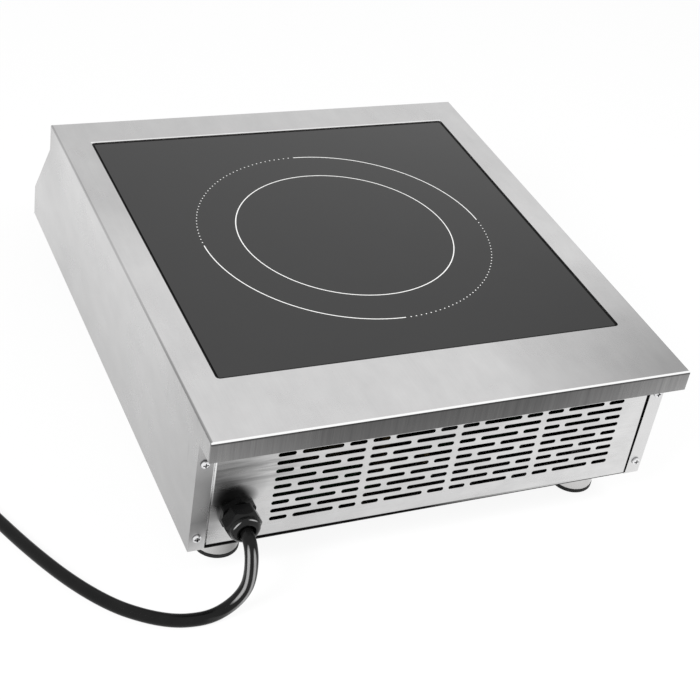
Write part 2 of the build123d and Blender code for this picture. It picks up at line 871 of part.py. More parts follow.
# Boards and what stands on them
power_board = (
    -inner_w + board_edge,
    -inner_w + board_edge + power_board_width,
    back_y - power_back_margin - power_board_depth,
    back_y - power_back_margin,
)
filter_board = (
    gland_x - filter_back_margin - filter_board_width,
    gland_x - filter_back_margin,
    back_y - filter_back_margin - filter_board_depth,
    back_y - filter_back_margin,
)
earth_place = (gland_x + earth_shift, back_y - earth_back)


def corners(board):
    x0, x1, y0, y1 = board
    return [(x, y) for x in (x0 + standoff_inset, x1 - standoff_inset) for y in (y0 + standoff_inset, y1 - standoff_inset)]


def board_places():
    return corners(power_board) + corners(filter_board)


def make_board(board):
    plate = box(*board, board_z, board_top)
    return plate - [disc(small_screw + hole_play, board_z - 1, board_top + 1, x, y) for x, y in corners(board)]


def make_standoff(x, y):
    post = Pos(x, y, deck_z) * hex_prism(2 * standoff_radius, 0, board_lift)
    return post - disc(small_screw + hole_play, deck_z - 1, board_z + 1, x, y)


def make_board_screws():
    short = pan_screw(small_screw, board_thick + 2.0)
    tops = [Pos(x, y, board_top) * short for x, y in board_places()]
    under = pan_screw(small_screw, sheet + 3.0)
    return tops + [facing_down(x, y, plate_z) * under for x, y in board_places()]


right_strip = power_board[1] - strip_margin - capacitor_width / 2
left_strip = power_board[0] + small_choke_margin + small_choke
sink_left = left_strip + small_choke + sink_side_gap
sink_right = right_strip - capacitor_width / 2 - sink_gap
sink_width = sink_right - sink_left
sink_x = (sink_left + sink_right) / 2
sink_y = (power_board[2] + power_board[3]) / 2
sink_z = board_top + chip_thick + 1.4


def make_heat_sink():
    x0 = sink_x - sink_width / 2
    y0 = sink_y - sink_depth / 2
    pieces = [box(x0, x0 + sink_width, y0, y0 + sink_depth, sink_z, sink_z + sink_base)]
    step = (sink_width - fin_thick) / (sink_fins - 1)
    for k in range(sink_fins):
        x = x0 + k * step
        pieces.append(box(x, x + fin_thick, y0, y0 + sink_depth, sink_z, sink_z + sink_height))
    for a in (-1, 1):
        for b in (-1, 1):
            x = sink_x + a * (sink_width / 2 - sink_leg)
            y = sink_y + b * (sink_depth / 2 - sink_leg)
            pieces.append(disc(sink_leg, board_top, sink_z + 1, x, y))
    return fuse(pieces)


def make_power_transistor(offset):
    y = sink_y + offset
    chip = box(sink_x - chip_width / 2, sink_x + chip_width / 2, y, y + chip_depth, sink_z - chip_thick, sink_z)
    legs = []
    for x in (sink_x - chip_leg_pitch, sink_x, sink_x + chip_leg_pitch):
        legs.append(box(x - chip_leg, x + chip_leg, y - 4.0, y - 3.2, board_top, sink_z - 2.0))
        legs.append(box(x - chip_leg, x + chip_leg, y - 4.0, y, sink_z - 2.6, sink_z - 2.0))
    return fuse([chip] + legs)


def rounded_block(width, depth, height, x, y, corner=1.5):
    return Pos(x, y, board_top) * extrude(RectangleRounded(width, depth, corner), height)


def ring_choke(radius, hole, height, x, y):
    ring = disc(radius, board_top, board_top + height, x, y) - disc(hole, board_top - 1, board_top + height + 1, x, y)
    rims = ring.edges().filter_by(GeomType.CIRCLE)
    return fillet(rims, 0.2 * height)


def make_film_capacitors():
    first = power_board[2] + capacitor_start + capacitor_depth / 2
    places = [first + capacitor_pitch * k for k in range(3)]
    return [rounded_block(capacitor_width, capacitor_depth, capacitor_height, right_strip, y) for y in places]


def make_power_board_parts():
    back = power_board[3]
    transformer_y = back - strip_margin - transformer_depth / 2
    transformer = rounded_block(transformer_width, transformer_depth, transformer_height, right_strip, transformer_y, 2.0)
    fuse_block = rounded_block(fuse_width, fuse_length, fuse_height, left_strip, back - fuse_margin - fuse_length / 2)
    choke = ring_choke(small_choke, small_choke / 2, small_choke, left_strip, sink_y + small_choke_shift)
    return [transformer, fuse_block, choke]


def coil_terminal_places():
    front = power_board[2]
    return [(left_strip, front + left_terminal_margin), (right_strip, front + right_terminal_margin)]


def make_coil_terminals():
    return [disc(terminal_radius, board_top, board_top + terminal_height, x, y) for x, y in coil_terminal_places()]


def make_filter_board_parts():
    x0, x1, y0, y1 = filter_board
    x = x0 + filter_choke_x
    y = y0 + filter_choke_y
    choke = ring_choke(filter_choke, 7.0, filter_choke, x, y)
    suppressor_y = y + filter_choke + suppressor_gap + suppressor_depth / 2
    suppressor = rounded_block(suppressor_width, suppressor_depth, 24.0, x, suppressor_y)
    relay = rounded_block(relay_width, relay_length, relay_height, x1 - relay_margin - relay_width / 2, y)
    return [choke, suppressor, relay]


def terminal_face():
    return filter_board[1] - block_margin


def make_terminal_block():
    x1 = terminal_face()
    y1 = filter_board[3] - block_back
    block = box(x1 - block_width, x1, y1 - block_length, y1, board_top, board_top + block_width)
    for k in range(3):
        y = y1 - (k + 0.5) * block_length / 3
        block = block - disc(block_hole, board_top + 12, board_top + 20, x1 - block_width / 2, y)
    return block


def bent_wire(points, radius, bend):
    path = FilletPolyline(*points, radius=bend)
    return tube(path.wire(), 2 * radius)


def make_coil_leads(inner, outer):
    (left_x, left_y), (right_x, right_y) = coil_terminal_places()
    end_z = board_top + terminal_height
    top = coil_z - coil_wire
    outer_lead = [
        (outer.X, outer.Y, top),
        (outer.X, outer.Y, top - 24),
        (left_x, left_y, end_z + 26),
        (left_x, left_y, end_z),
    ]
    inner_lead = [
        (inner.X, inner.Y, top),
        (inner.X, inner.Y, top - 26),
        (right_x, right_y, end_z + 26),
        (right_x, right_y, end_z),
    ]
    return [bent_wire(outer_lead, lead_radius, 8.0), bent_wire(inner_lead, lead_radius, 8.0)]


# Sheath end inside the casing, with its three cores
def make_mains_cores():
    sheath_end = panel_out - sheath_inside - 4.0
    tip = panel_out + seal_front
    sheath = facing_back(gland_x, sheath_end, gland_z) * Cylinder(cord_diameter / 2, tip - sheath_end, align=low)
    face = terminal_face()
    hole_y = filter_board[3] - block_back
    far_z = board_top + 10.0
    live = [
        (gland_x + 2.2, sheath_end, gland_z + 1.6),
        (gland_x + 2.2, hole_y - 18, gland_z + 1.6),
        (gland_x - 8, hole_y - 25, far_z),
        (face, hole_y - 25, far_z),
    ]
    neutral = [
        (gland_x - 2.2, sheath_end, gland_z + 1.6),
        (gland_x - 2.2, sheath_end - 7, gland_z + 1.6),
        (gland_x - 10, hole_y - 5, far_z),
        (face, hole_y - 5, far_z),
    ]
    earth_x, earth_y = earth_place
    earth = [
        (gland_x, sheath_end, gland_z - 2.2),
        (gland_x, sheath_end - 8, gland_z - 4.0),
        (earth_x, earth_y, deck_z + 15.0),
        (earth_x, earth_y, deck_z + 6.0),
    ]
    return [sheath] + [bent_wire(route, core_radius, 3.0) for route in (live, neutral, earth)]


def make_earth_stud():
    x, y = earth_place
    stud = disc(mid_screw, plate_z, deck_z + 6.0, x, y)
    nut = Pos(x, y, 0) * hex_prism(7.0, deck_z, deck_z + 3.2)
    return stud + nut


# Fans: square frame with a duct, struts, stator and pin; a bladed rotor turns on the pin
def make_fan_frame(x):
    frame = Pos(0, 0, deck_z) * extrude(RectangleRounded(fan_side, fan_side, fan_corner), fan_height)
    frame = frame - disc(fan_duct, deck_z - 1, deck_z + fan_height + 1)
    hub = disc(fan_hub, deck_z, deck_z + fan_strut) + disc(stator_radius, deck_z, deck_z + fan_strut + stator_height)
    pin = disc(fan_pin, deck_z, deck_z + fan_height - 4.0)
    strut = box(stator_radius, fan_duct + 1.0, -fan_strut / 2, fan_strut / 2, deck_z, deck_z + fan_strut)
    frame = fuse([frame, hub, pin] + [Rot(0, 0, 45 + 90 * k) * strut for k in range(4)])
    half = fan_screw_pitch / 2
    holes = [disc(mid_screw + hole_play, deck_z - 1, deck_z + fan_height + 1, a * half, b * half) for a in (-1, 1) for b in (-1, 1)]
    return Pos(x, fan_y, 0) * (frame - holes)


def make_fan_rotor(x):
    stator_top = deck_z + fan_strut + stator_height
    low_z = deck_z + fan_strut + 1.0
    sleeve_z = stator_top + fan_run_gap
    high_z = deck_z + fan_height - 3.0
    hub = disc(fan_hub, low_z, high_z) - disc(fan_hub - rotor_wall, low_z - 1, high_z - rotor_cap)
    hub = hub + disc(rotor_sleeve, sleeve_z, high_z)
    tip = fan_duct - blade_tip_gap
    swept = disc(tip, low_z, high_z) - disc(fan_hub - rotor_wall / 2, low_z - 1, high_z + 1)
    middle = (low_z + high_z) / 2
    blade = Pos(tip / 2, 0, middle) * Rot(blade_pitch, 0, 0) * Box(tip + 2, blade_chord, blade_thick)
    blade = blade & swept & box(0, tip + 1, -tip, tip, low_z, high_z)
    blades = [Rot(0, 0, 360 * k / blade_count) * blade for k in range(blade_count)]
    rotor = fuse([hub] + blades) - disc(fan_pin + shaft_play, deck_z, deck_z + fan_height - 3.8)
    return Pos(x, fan_y, 0) * rotor


def make_fan_screws():
    screw = pan_screw(mid_screw, fan_height + sheet)
    return [Pos(x, y, deck_z + fan_height) * screw for x, y in fan_screw_places()]


# Mains lead: from the gland down to the counter, out of view, then a coil put away
cord_floor = cord_diameter / 2
put_away_x = 343.0
put_away_y = 40.0
put_away_pitch = 9.5
put_away_layer = 9.4
put_away_inner = 34.25
put_away_climb = 32.8
put_away_end = 46.0
put_away_in = 2.5
put_away_tail = 58.0
plug_relief = 28.0
plug_length = 42.0
plug_width = 40.0
plug_thick = 2 * (cord_floor + put_away_layer)
pin_length = 20.0
pin_thick = 1.8
pin_width = 8.0

coil_start_x = put_away_x - put_away_inner - put_away_in * put_away_pitch
route = [
    (gland_x, panel_out + seal_front, gland_z),
    (gland_x, 219.0, gland_z),
    (140.2, 228.2, 47.3),
    (140.0, 229.0, 27.5),
    (144.2, 229.2, 16.5),
    (151.8, 229.6, 8.7),
    (161.4, 230.4, cord_floor),
    (172.4, 231.4, cord_floor),
    (187.4, 228.8, cord_floor),
    (204.0, 219.8, cord_floor),
    (221.0, 205.4, cord_floor),
    (239.5, 180.0, cord_floor),
    (256.5, 147.5, cord_floor),
    (270.5, 115.0, cord_floor),
    (281.0, 88.0, cord_floor),
    (coil_start_x, 66.0, cord_floor),
    (coil_start_x, put_away_y + cord_diameter, cord_floor),
]


def cord_radii(points):
    """Largest arc that each corner's two runs allow."""
    vectors = [Vector(*p) for p in points]
    radii = []
    for before, corner, after in zip(vectors, vectors[1:], vectors[2:]):
        turn = radians((corner - before).get_angle(after - corner))
        shorter = min((corner - before).length, (after - corner).length)
        radii.append(0.45 * shorter / tan(turn / 2))
    return radii


def make_power_cord():
    radii = cord_radii(route)
    print("cord radii", [round(r, 1) for r in radii])
    path = FilletPolyline(*route, radius=radii).wire()
    cord = tube(path, cord_diameter)
    print("cord stretch", round(path.length, 1), "volume ratio", round(cord.volume / (path.length * pi * cord_floor**2), 4))
    return cord


def put_away_path():
    """Spiral in on the counter, climb in the half turn where it reverses, spiral out on top, leave towards +X."""
    inward = int(2 * put_away_in)
    outward = 2
    start = put_away_inner + put_away_in * put_away_pitch
    radii = [start - put_away_pitch * k / 2 for k in range(inward)]
    radii += [put_away_climb, put_away_climb]
    radii += [put_away_inner + put_away_pitch * k / 2 for k in range(1, outward + 1)]
    upper = cord_floor + put_away_layer
    heights = [cord_floor] * (inward + 1) + [upper] * (outward + 1)
    points, arcs = winding(put_away_x, put_away_y, radii, heights, -1)
    last = points[-1]
    end_radius = put_away_end
    corner = Vector(last.X + end_radius, last.Y - end_radius, upper)
    middle = Vector(last.X + end_radius * (1 - cos(pi / 4)), last.Y - end_radius * sin(pi / 4), upper)
    tail_end = Vector(put_away_x + put_away_tail, corner.Y, upper)
    first = points[0]
    pieces = [Line(first + Vector(0, cord_diameter, 0), first)] + arcs
    pieces += [ThreePointArc(last, middle, corner), Line(corner, tail_end)]
    return Wire([piece.edge() for piece in pieces]), tail_end


def make_cord_coil():
    path, tail_end = put_away_path()
    print("cord coil length", round(path.length, 1), "least gap", round(least_gap(path, cord_diameter, 60.0), 2))
    return tube(path, cord_diameter), tail_end


def make_plug(entry):
    """Straight three-pin plug, cord entry at its origin, pins towards +Z, lying flat."""
    relief = Cone(cord_diameter / 2 + 1.6, cord_diameter / 2 + 5.0, plug_relief, align=low)
    for k in range(5):
        ring = Pos(0, 0, 3.0 + 4.6 * k) * Torus(cord_diameter / 2 + 2.6 + 0.6 * k, 0.9)
        relief = relief - ring
    grip = Pos(0, 0, plug_relief) * extrude(RectangleRounded(0.72 * plug_width, plug_thick - 2.0, 6.0), plug_length)
    head = Pos(0, 0, plug_relief + 0.45 * plug_length) * extrude(
        RectangleRounded(plug_width, plug_thick, 8.0), 0.55 * plug_length
    )
    body = relief + grip + head
    face = plug_relief + plug_length
    blade = box(-pin_width / 2, pin_width / 2, -pin_thick / 2, pin_thick / 2, face, face + pin_length)
    spread = 8.0
    pins = [
        Pos(-spread, 3.5, 0) * Rot(0, 0, 60) * blade,
        Pos(spread, 3.5, 0) * Rot(0, 0, -60) * blade,
        Pos(0, -7.5, 0) * Rot(0, 0, 90) * blade,
    ]
    place = Pos(entry.X, entry.Y, entry.Z) * Rot(0, 90, 0) * Rot(0, 0, -90)
    return place * body, [place * pin for pin in pins]


def build_nodes():
    coil, coil_points = make_induction_coil()
    inner_end, outer_end = coil_points[0], coil_points[-1]
    foot_bolt_piece, foot_nut_piece = make_foot_bolt()
    cord_coil, tail_end = make_cord_coil()
    plug_body, plug_pins = make_plug(tail_end)
    buttons = {"power": power_u, "mode": mode_u, "minus": minus_u, "plus": plus_u}
    at_feet = [Pos(x, y, 0) for x, y in foot_places]
    nodes = {
        "top_cover": [make_top_cover()],
        "front_panel": [make_front_panel()],
        "rear_panel": [make_rear_panel()],
        "base_plate": [make_base_plate()],
        "casing_screws": make_casing_screws(),
        "glass_plate": [make_glass_plate()],
        "glass_seal": [make_glass_seal()],
        "foot_cups": [place * make_foot_cup() for place in at_feet],
        "foot_pads": [place * make_foot_pad() for place in at_feet],
        "foot_bolts": [place * piece for place in at_feet for piece in (foot_bolt_piece, foot_nut_piece)],
        "gland_body": [make_gland_body()],
        "gland_nut": [make_gland_nut()],
        "gland_seal": [make_gland_seal()],
        "gland_locknut": [make_gland_locknut()],
        "control_fascia": [make_control_fascia()],
        "display_window": [make_display_window()],
        "digit_display": [make_digit_display()],
        "display_board": [make_display_board()],
        "display_standoffs": [make_display_standoff(u, v) for u, v in display_posts()],
        "button_switches": [make_switch(u) for u in buttons.values()],
        "knob": [make_knob()],
        "knob_pointer": [make_knob_pointer()],
        "knob_shaft": [make_knob_shaft()],
        "potentiometer": [make_potentiometer()],
        "potentiometer_nut": [make_pot_nut()],
        "induction_coil": [coil],
        "insulating_disc": [make_insulating_disc()],
        "coil_carrier": [make_coil_carrier([(p.X, p.Y) for p in (inner_end, outer_end)])],
        "ferrite_bars": make_ferrites(),
        "temperature_sensor": [make_temperature_sensor()],
        "sensor_holder": [make_sensor_holder()],
        "coil_posts": [make_coil_post(x, y) for x, y in post_places],
        "coil_screws": make_coil_screws(),
        "coil_leads": make_coil_leads(inner_end, outer_end),
        "coil_terminals": make_coil_terminals(),
        "power_board": [make_board(power_board)],
        "heat_sink": [make_heat_sink()],
        "power_transistors": [make_power_transistor(chip_pitch * k - 8.0) for k in (-1, 0, 1)],
        "film_capacitors": make_film_capacitors(),
        "power_board_parts": make_power_board_parts(),
        "filter_board": [make_board(filter_board)],
        "filter_board_parts": make_filter_board_parts(),
        "terminal_block": [make_terminal_block()],
        "board_standoffs": [make_standoff(x, y) for x, y in board_places()],
        "board_screws": make_board_screws() + [make_display_screw(u, v) for u, v in display_posts()],
        "left_fan_frame": [make_fan_frame(-fan_centre_x)],
        "right_fan_frame": [make_fan_frame(fan_centre_x)],
        "left_fan_rotor": [make_fan_rotor(-fan_centre_x)],
        "right_fan_rotor": [make_fan_rotor(fan_centre_x)],
        "fan_screws": make_fan_screws(),
        "mains_cores": make_mains_cores(),
        "earth_stud": [make_earth_stud()],
        "power_cord": [make_power_cord()],
        "cord_coil": [cord_coil],
        "plug_body": [plug_body],
        "plug_pins": plug_pins,
    }
    for name, u in buttons.items():
        nodes[name + "_button"] = [make_button(u)]
    return nodes


def write_nodes():
    os.makedirs("parts", exist_ok=True)
    for name, shapes in build_nodes().items():
        solids = [solid for shape in shapes for solid in shape.solids()]
        whole = Compound(solids) if len(solids) > 1 else solids[0]
        whole.label = name
        export_step(whole, f"parts/{name}.step")


write_nodes()
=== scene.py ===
from math import cos, pi, radians, sin

import bpy
from mathutils import Matrix, Vector


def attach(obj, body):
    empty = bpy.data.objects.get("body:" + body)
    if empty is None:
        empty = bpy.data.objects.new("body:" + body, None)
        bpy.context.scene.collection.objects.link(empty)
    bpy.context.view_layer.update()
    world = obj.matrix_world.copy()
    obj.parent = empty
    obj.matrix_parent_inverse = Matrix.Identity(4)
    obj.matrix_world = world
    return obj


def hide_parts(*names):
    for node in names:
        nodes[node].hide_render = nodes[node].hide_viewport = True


# Dresses the counter-top cooker: camera, cord, finishes, prints, floor, background and lamps.
# Lengths are metres in the CAD frame.

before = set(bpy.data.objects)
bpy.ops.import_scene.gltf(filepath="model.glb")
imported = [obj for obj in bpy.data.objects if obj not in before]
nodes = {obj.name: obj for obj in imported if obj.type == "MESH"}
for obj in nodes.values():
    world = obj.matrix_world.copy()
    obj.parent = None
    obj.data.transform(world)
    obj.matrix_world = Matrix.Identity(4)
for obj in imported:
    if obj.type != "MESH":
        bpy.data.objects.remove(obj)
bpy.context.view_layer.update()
scene = bpy.context.scene


def keep(obj, body="casing"):
    """Links a new object and lets it ride on a body."""
    scene.collection.objects.link(obj)
    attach(obj, body)
    return obj


# Camera
camera_data = bpy.data.cameras.new("camera")
camera_data.sensor_width = 36.0
camera_data.lens = 78.87
camera_data.shift_x = -0.0516
camera_data.shift_y = 0.0225
camera_data.clip_start = 0.01
camera_data.clip_end = 50.0
camera = bpy.data.objects.new("camera", camera_data)
camera.location = (0.43841, 0.85262, 0.71055)
camera.rotation_euler = (radians(53.5399), radians(-9.0640), radians(156.3024))
scene.collection.objects.link(camera)
scene.camera = camera

# Mains lead: same route as the CAD tube, then the put-away coil and its tail
CORD_DIAMETER = 0.0088
CORD_SIDES = 28
CORD_FLOOR = CORD_DIAMETER / 2
ROUTE = [
    (0.1400, 0.2060, 0.0565),
    (0.1400, 0.2190, 0.0565),
    (0.1402, 0.2282, 0.0473),
    (0.1400, 0.2290, 0.0275),
    (0.1442, 0.2292, 0.0165),
    (0.1518, 0.2296, 0.0087),
    (0.1614, 0.2304, CORD_FLOOR),
    (0.1724, 0.2314, CORD_FLOOR),
    (0.1874, 0.2288, CORD_FLOOR),
    (0.2040, 0.2198, CORD_FLOOR),
    (0.2210, 0.2054, CORD_FLOOR),
    (0.2395, 0.1800, CORD_FLOOR),
    (0.2565, 0.1475, CORD_FLOOR),
    (0.2705, 0.1150, CORD_FLOOR),
    (0.2810, 0.0880, CORD_FLOOR),
    (0.2850, 0.0660, CORD_FLOOR),
]
COIL_CENTRE = (0.343, 0.040)
COIL_UPPER = 0.0138  # height of the turns that lie on the first ones
COIL_CLIMB = (2.5, 3.0)  # turns between which the lead climbs to them
COIL_RADII = [  # turn, radius
    (0.0, 0.0580),
    (2.0, 0.0390),
    (2.5, 0.0328),
    (3.0, 0.0328),
    (3.5, 0.0390),
    (4.25, 0.0460),
]
TURN_POINTS = 16
TAIL = [(x, -0.006, COIL_UPPER) for x in (0.357, 0.377, 0.401)]


def coil_radius(turn):
    for (t0, r0), (t1, r1) in zip(COIL_RADII, COIL_RADII[1:]):
        if turn <= t1:
            return r0 + (r1 - r0) * (turn - t0) / (t1 - t0)
    return COIL_RADII[-1][1]


def coil_height(turn):
    start, end = COIL_CLIMB
    rise = min(max((turn - start) / (end - start), 0.0), 1.0)
    return CORD_FLOOR + (COIL_UPPER - CORD_FLOOR) * (1 - cos(pi * rise)) / 2


def coil_points():
    """Control points, so far outside the coil that the smooth spline runs on its radius."""
    reach = 1 / (0.75 + 0.25 * cos(2 * pi / TURN_POINTS))
    points = []
    for k in range(int(COIL_RADII[-1][0] * TURN_POINTS)):
        turn = k / TURN_POINTS
        radius = coil_radius(turn) * reach
        angle = 2 * pi * turn
        x = COIL_CENTRE[0] - radius * cos(angle)
        y = COIL_CENTRE[1] - radius * sin(angle)
        points.append((x, y, coil_height(turn)))
    return points


def make_line():
    data = bpy.data.curves.new("cord_line", "CURVE")
    data.dimensions = "3D"
    data.resolution_u = 10
    points = ROUTE + coil_points() + TAIL
    spline = data.splines.new("NURBS")
    spline.points.add(len(points) - 1)
    for point, place in zip(spline.points, points):
        point.co = (*place, 1.0)
    spline.order_u = 3
    spline.use_endpoint_u = True
    return data


def points_along(data):
    """Points that the spline runs through, read from the curve without its tube."""
    bare = bpy.data.objects.new("cord_line", data)
    mesh = bpy.data.meshes.new_from_object(bare)
    points = [vertex.co.copy() for vertex in mesh.vertices]
    bpy.data.objects.remove(bare)
    bpy.data.meshes.remove(mesh)
    return points


def make_tube(name, points, radius, sides):
    """Round tube along points; its rings turn no more than the line does."""
    verts, faces = [], []
    side = Vector((0.0, 0.0, 1.0))
    for k, point in enumerate(points):
        ahead = points[min(k + 1, len(points) - 1)] - points[max(k - 1, 0)]
        ahead.normalize()
        side = (side - ahead * side.dot(ahead)).normalized()
        other = ahead.cross(side)
        for j in range(sides):
            angle = 2 * pi * j / sides
            verts.append(point + radius * (side * cos(angle) + other * sin(angle)))
    for k in range(len(points) - 1):
        for j in range(sides):
            a, b = k * sides + j, k * sides + (j + 1) % sides
            faces.append((a, b, b + sides, a + sides))
    last = len(verts) - sides
    faces.append(tuple(reversed(range(sides))))
    faces.append(tuple(range(last, last + sides)))
    data = bpy.data.meshes.new(name)
    data.from_pydata(verts, [], faces)
    data.polygons.foreach_set("use_smooth", [len(face) == 4 for face in faces])
    data.update()
    return data


cord_path = points_along(make_line())
cord_mesh = make_tube("cord_tube", cord_path, CORD_DIAMETER / 2, CORD_SIDES)
cord = keep(bpy.data.objects.new("cord_tube", cord_mesh))
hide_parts("power_cord", "cord_coil")


# Node helpers
def math_node(tree, operation, first, second):
    """Output of a new Math node whose inputs are numbers or sockets."""
    node = tree.nodes.new("ShaderNodeMath")
    node.operation = operation
    for socket, value in zip(node.inputs, (first, second)):
        if isinstance(value, (int, float)):
            socket.default_value = value
        else:
            tree.links.new(value, socket)
    return node.outputs[0]


class Finish:
    """One procedural material with a Principled shader."""

    def __init__(self, name, colour, metallic=0.0, roughness=0.5):
        self.material = bpy.data.materials.new(name)
        self.material.use_nodes = True
        self.material.diffuse_color = (*colour, 1.0)
        self.tree = self.material.node_tree
        self.shader = self.tree.nodes["Principled BSDF"]
        self.set("Base Color", (*colour, 1.0))
        self.set("Metallic", metallic)
        self.set("Roughness", roughness)
        self.colour = colour
        self.roughness = roughness
        self.texture = self.add("ShaderNodeTexCoord")
        self.coordinates = self.texture.outputs["Object"]

    def add(self, kind, **settings):
        node = self.tree.nodes.new(kind)
        for key, value in settings.items():
            setattr(node, key, value)
        return node

    def set(self, socket, value):
        self.shader.inputs[socket].default_value = value

    def link(self, source, target):
        self.tree.links.new(source, target)

    def feed(self, socket, source):
        """Lets a value that varies over the surface drive one of the shader's sockets."""
        self.link(source, self.shader.inputs[socket])

    def noise(self, scale, detail=3.0, stretch=(1.0, 1.0, 1.0), rough=0.55):
        mapping = self.add("ShaderNodeMapping")
        mapping.inputs["Scale"].default_value = stretch
        self.link(self.coordinates, mapping.inputs["Vector"])
        noise = self.add("ShaderNodeTexNoise")
        noise.inputs["Scale"].default_value = scale
        noise.inputs["Detail"].default_value = detail
        noise.inputs["Roughness"].default_value = rough
        self.link(mapping.outputs["Vector"], noise.inputs["Vector"])
        return noise.outputs["Fac"]

    def axis(self, name, output="Object"):
        split = self.add("ShaderNodeSeparateXYZ")
        self.link(self.texture.outputs[output], split.inputs[0])
        return split.outputs[name]

    def math(self, operation, first, second):
        return math_node(self.tree, operation, first, second)

    def between(self, value, low, high, to_low=0.0, to_high=1.0):
        """Goes from one number to another while a value goes from low to high, and stays past them."""
        node = self.add("ShaderNodeMapRange")
        node.inputs["From Min"].default_value = low
        node.inputs["From Max"].default_value = high
        node.inputs["To Min"].default_value = to_low
        node.inputs["To Max"].default_value = to_high
        self.link(value, node.inputs["Value"])
        return node.outputs["Result"]

    def mix(self, factor, first, second):
        node = self.add("ShaderNodeMix", data_type="RGBA")
        sockets = (node.inputs[0], node.inputs[6], node.inputs[7])
        for socket, value in zip(sockets, (factor, first, second)):
            if isinstance(value, (int, float)):
                socket.default_value = value
            elif isinstance(value, tuple):
                socket.default_value = (*value, 1.0)
            else:
                self.link(value, socket)
        return node.outputs[2]

    def shades(self, value, dark, light, low=0.3, high=0.7):
        """Colour from dark to light while a value runs from low to high."""
        return self.mix(self.between(value, low, high), dark, light)

    def total(self, shares):
        """Weighted sum of several values."""
        result = 0.0
        for value, weight in shares:
            node = self.add("ShaderNodeMath", operation="MULTIPLY_ADD")
            self.link(value, node.inputs[0])
            node.inputs[1].default_value = weight
            if isinstance(result, float):
                node.inputs[2].default_value = result
            else:
                self.link(result, node.inputs[2])
            result = node.outputs[0]
        return result

    def scaled(self, colour, value):
        """Colour times a value."""
        node = self.add("ShaderNodeVectorMath", operation="SCALE")
        self.link(colour, node.inputs[0])
        self.link(value, node.inputs["Scale"])
        return node.outputs[0]

    def product(self, *values):
        result = values[0]
        for value in values[1:]:
            result = self.math("MULTIPLY", result, value)
        return result

    def size_of(self, value):
        return self.math("ABSOLUTE", value, 0.0)

    def spot(self, first, second, centre, reach):
        """Squared distance from a centre in two axes, each divided by its own reach."""
        parts = []
        for value, middle, radius in zip((first, second), centre, reach):
            away = self.math("MULTIPLY", self.math("SUBTRACT", value, middle), 1 / radius)
            parts.append(self.math("MULTIPLY", away, away))
        return self.math("ADD", *parts)

    def vary_colour(self, amount, source):
        """Base colour between darker and lighter by a share, following a noise."""
        dark = tuple(c * (1 - amount) for c in self.colour)
        light = tuple(min(1.0, c * (1 + amount)) for c in self.colour)
        self.feed("Base Color", self.shades(source, dark, light))

    def vary_roughness(self, amount, source):
        low, high = max(0.0, self.roughness - amount), min(1.0, self.roughness + amount)
        self.feed("Roughness", self.between(source, 0.3, 0.7, low, high))

    def bump(self, source, strength, distance):
        node = self.add("ShaderNodeBump")
        node.inputs["Strength"].default_value = strength
        node.inputs["Distance"].default_value = distance
        self.link(source, node.inputs["Height"])
        self.feed("Normal", node.outputs["Normal"])


def plain(
    name,
    colour,
    metallic=0.0,
    roughness=0.5,
    spot=60.0,
    amount=0.08,
    grain=900.0,
    depth=0.00004,
    coat=0.0,
    gloss=0.5,
):
    """Moulded, turned or coated surface: slow colour patches, finer gloss patches and a fine grain."""
    finish = Finish(name, colour, metallic, roughness)
    finish.vary_colour(amount, finish.noise(spot, 4.0))
    finish.vary_roughness(0.06, finish.noise(spot * 3, 3.0))
    finish.set("Specular IOR Level", gloss)
    if grain:
        finish.bump(finish.noise(grain, 2.0), 0.25, depth)
    if coat:
        finish.set("Coat Weight", coat)
        finish.set("Coat Roughness", 0.08)
    return finish.material


def brushed(name, colour, stretch, roughness=0.30, amount=0.05):
    """Brushed sheet: streaks along the stretched axis over soft cloudy patches."""
    finish = Finish(name, colour, 1.0, roughness)
    streaks = finish.noise(1.0, 4.0, stretch, 0.7)
    clouds = finish.noise(22.0, 5.0)
    finish.vary_colour(amount, finish.total([(streaks, 0.5), (clouds, 0.5)]))
    finish.vary_roughness(0.07, clouds)
    finish.bump(streaks, 0.15, 0.00003)
    return finish, clouds


STEEL = (0.62, 0.615, 0.615)
ZINC = (0.52, 0.53, 0.54)
WHITE = (1.0, 1.0, 1.0)


def cover_top(finish, x, y, up, sheet):
    """Top plate: painted shade towards the front and towards one rear corner, and a painted highlight line
    before the glass.
    """
    # Painted shade: darker towards the -X rear corner and towards the front.
    corner = finish.product(finish.between(x, -0.03, -0.155), finish.between(y, 0.07, 0.20), up)
    front = finish.product(finish.between(y, 0.03, -0.05), finish.between(x, -0.17, 0.15, 0.07, 0.18))
    tone = finish.product(
        finish.between(corner, 0.0, 1.0, 1.0, 0.54),
        finish.between(front, 0.0, 1.0, 1.0, 0.0),
    )
    # Painted highlight: a bright line along the ledge before the glass.
    ledge_highlight = finish.product(
        finish.between(y, -0.1409, -0.1406),
        finish.between(y, -0.1384, -0.1388),
        finish.between(finish.size_of(x), 0.1478, 0.1472),
    )
    tone = finish.math("MAXIMUM", tone, finish.between(ledge_highlight, 0.0, 1.0, 0.0, 1.32))
    return finish.scaled(sheet, tone)


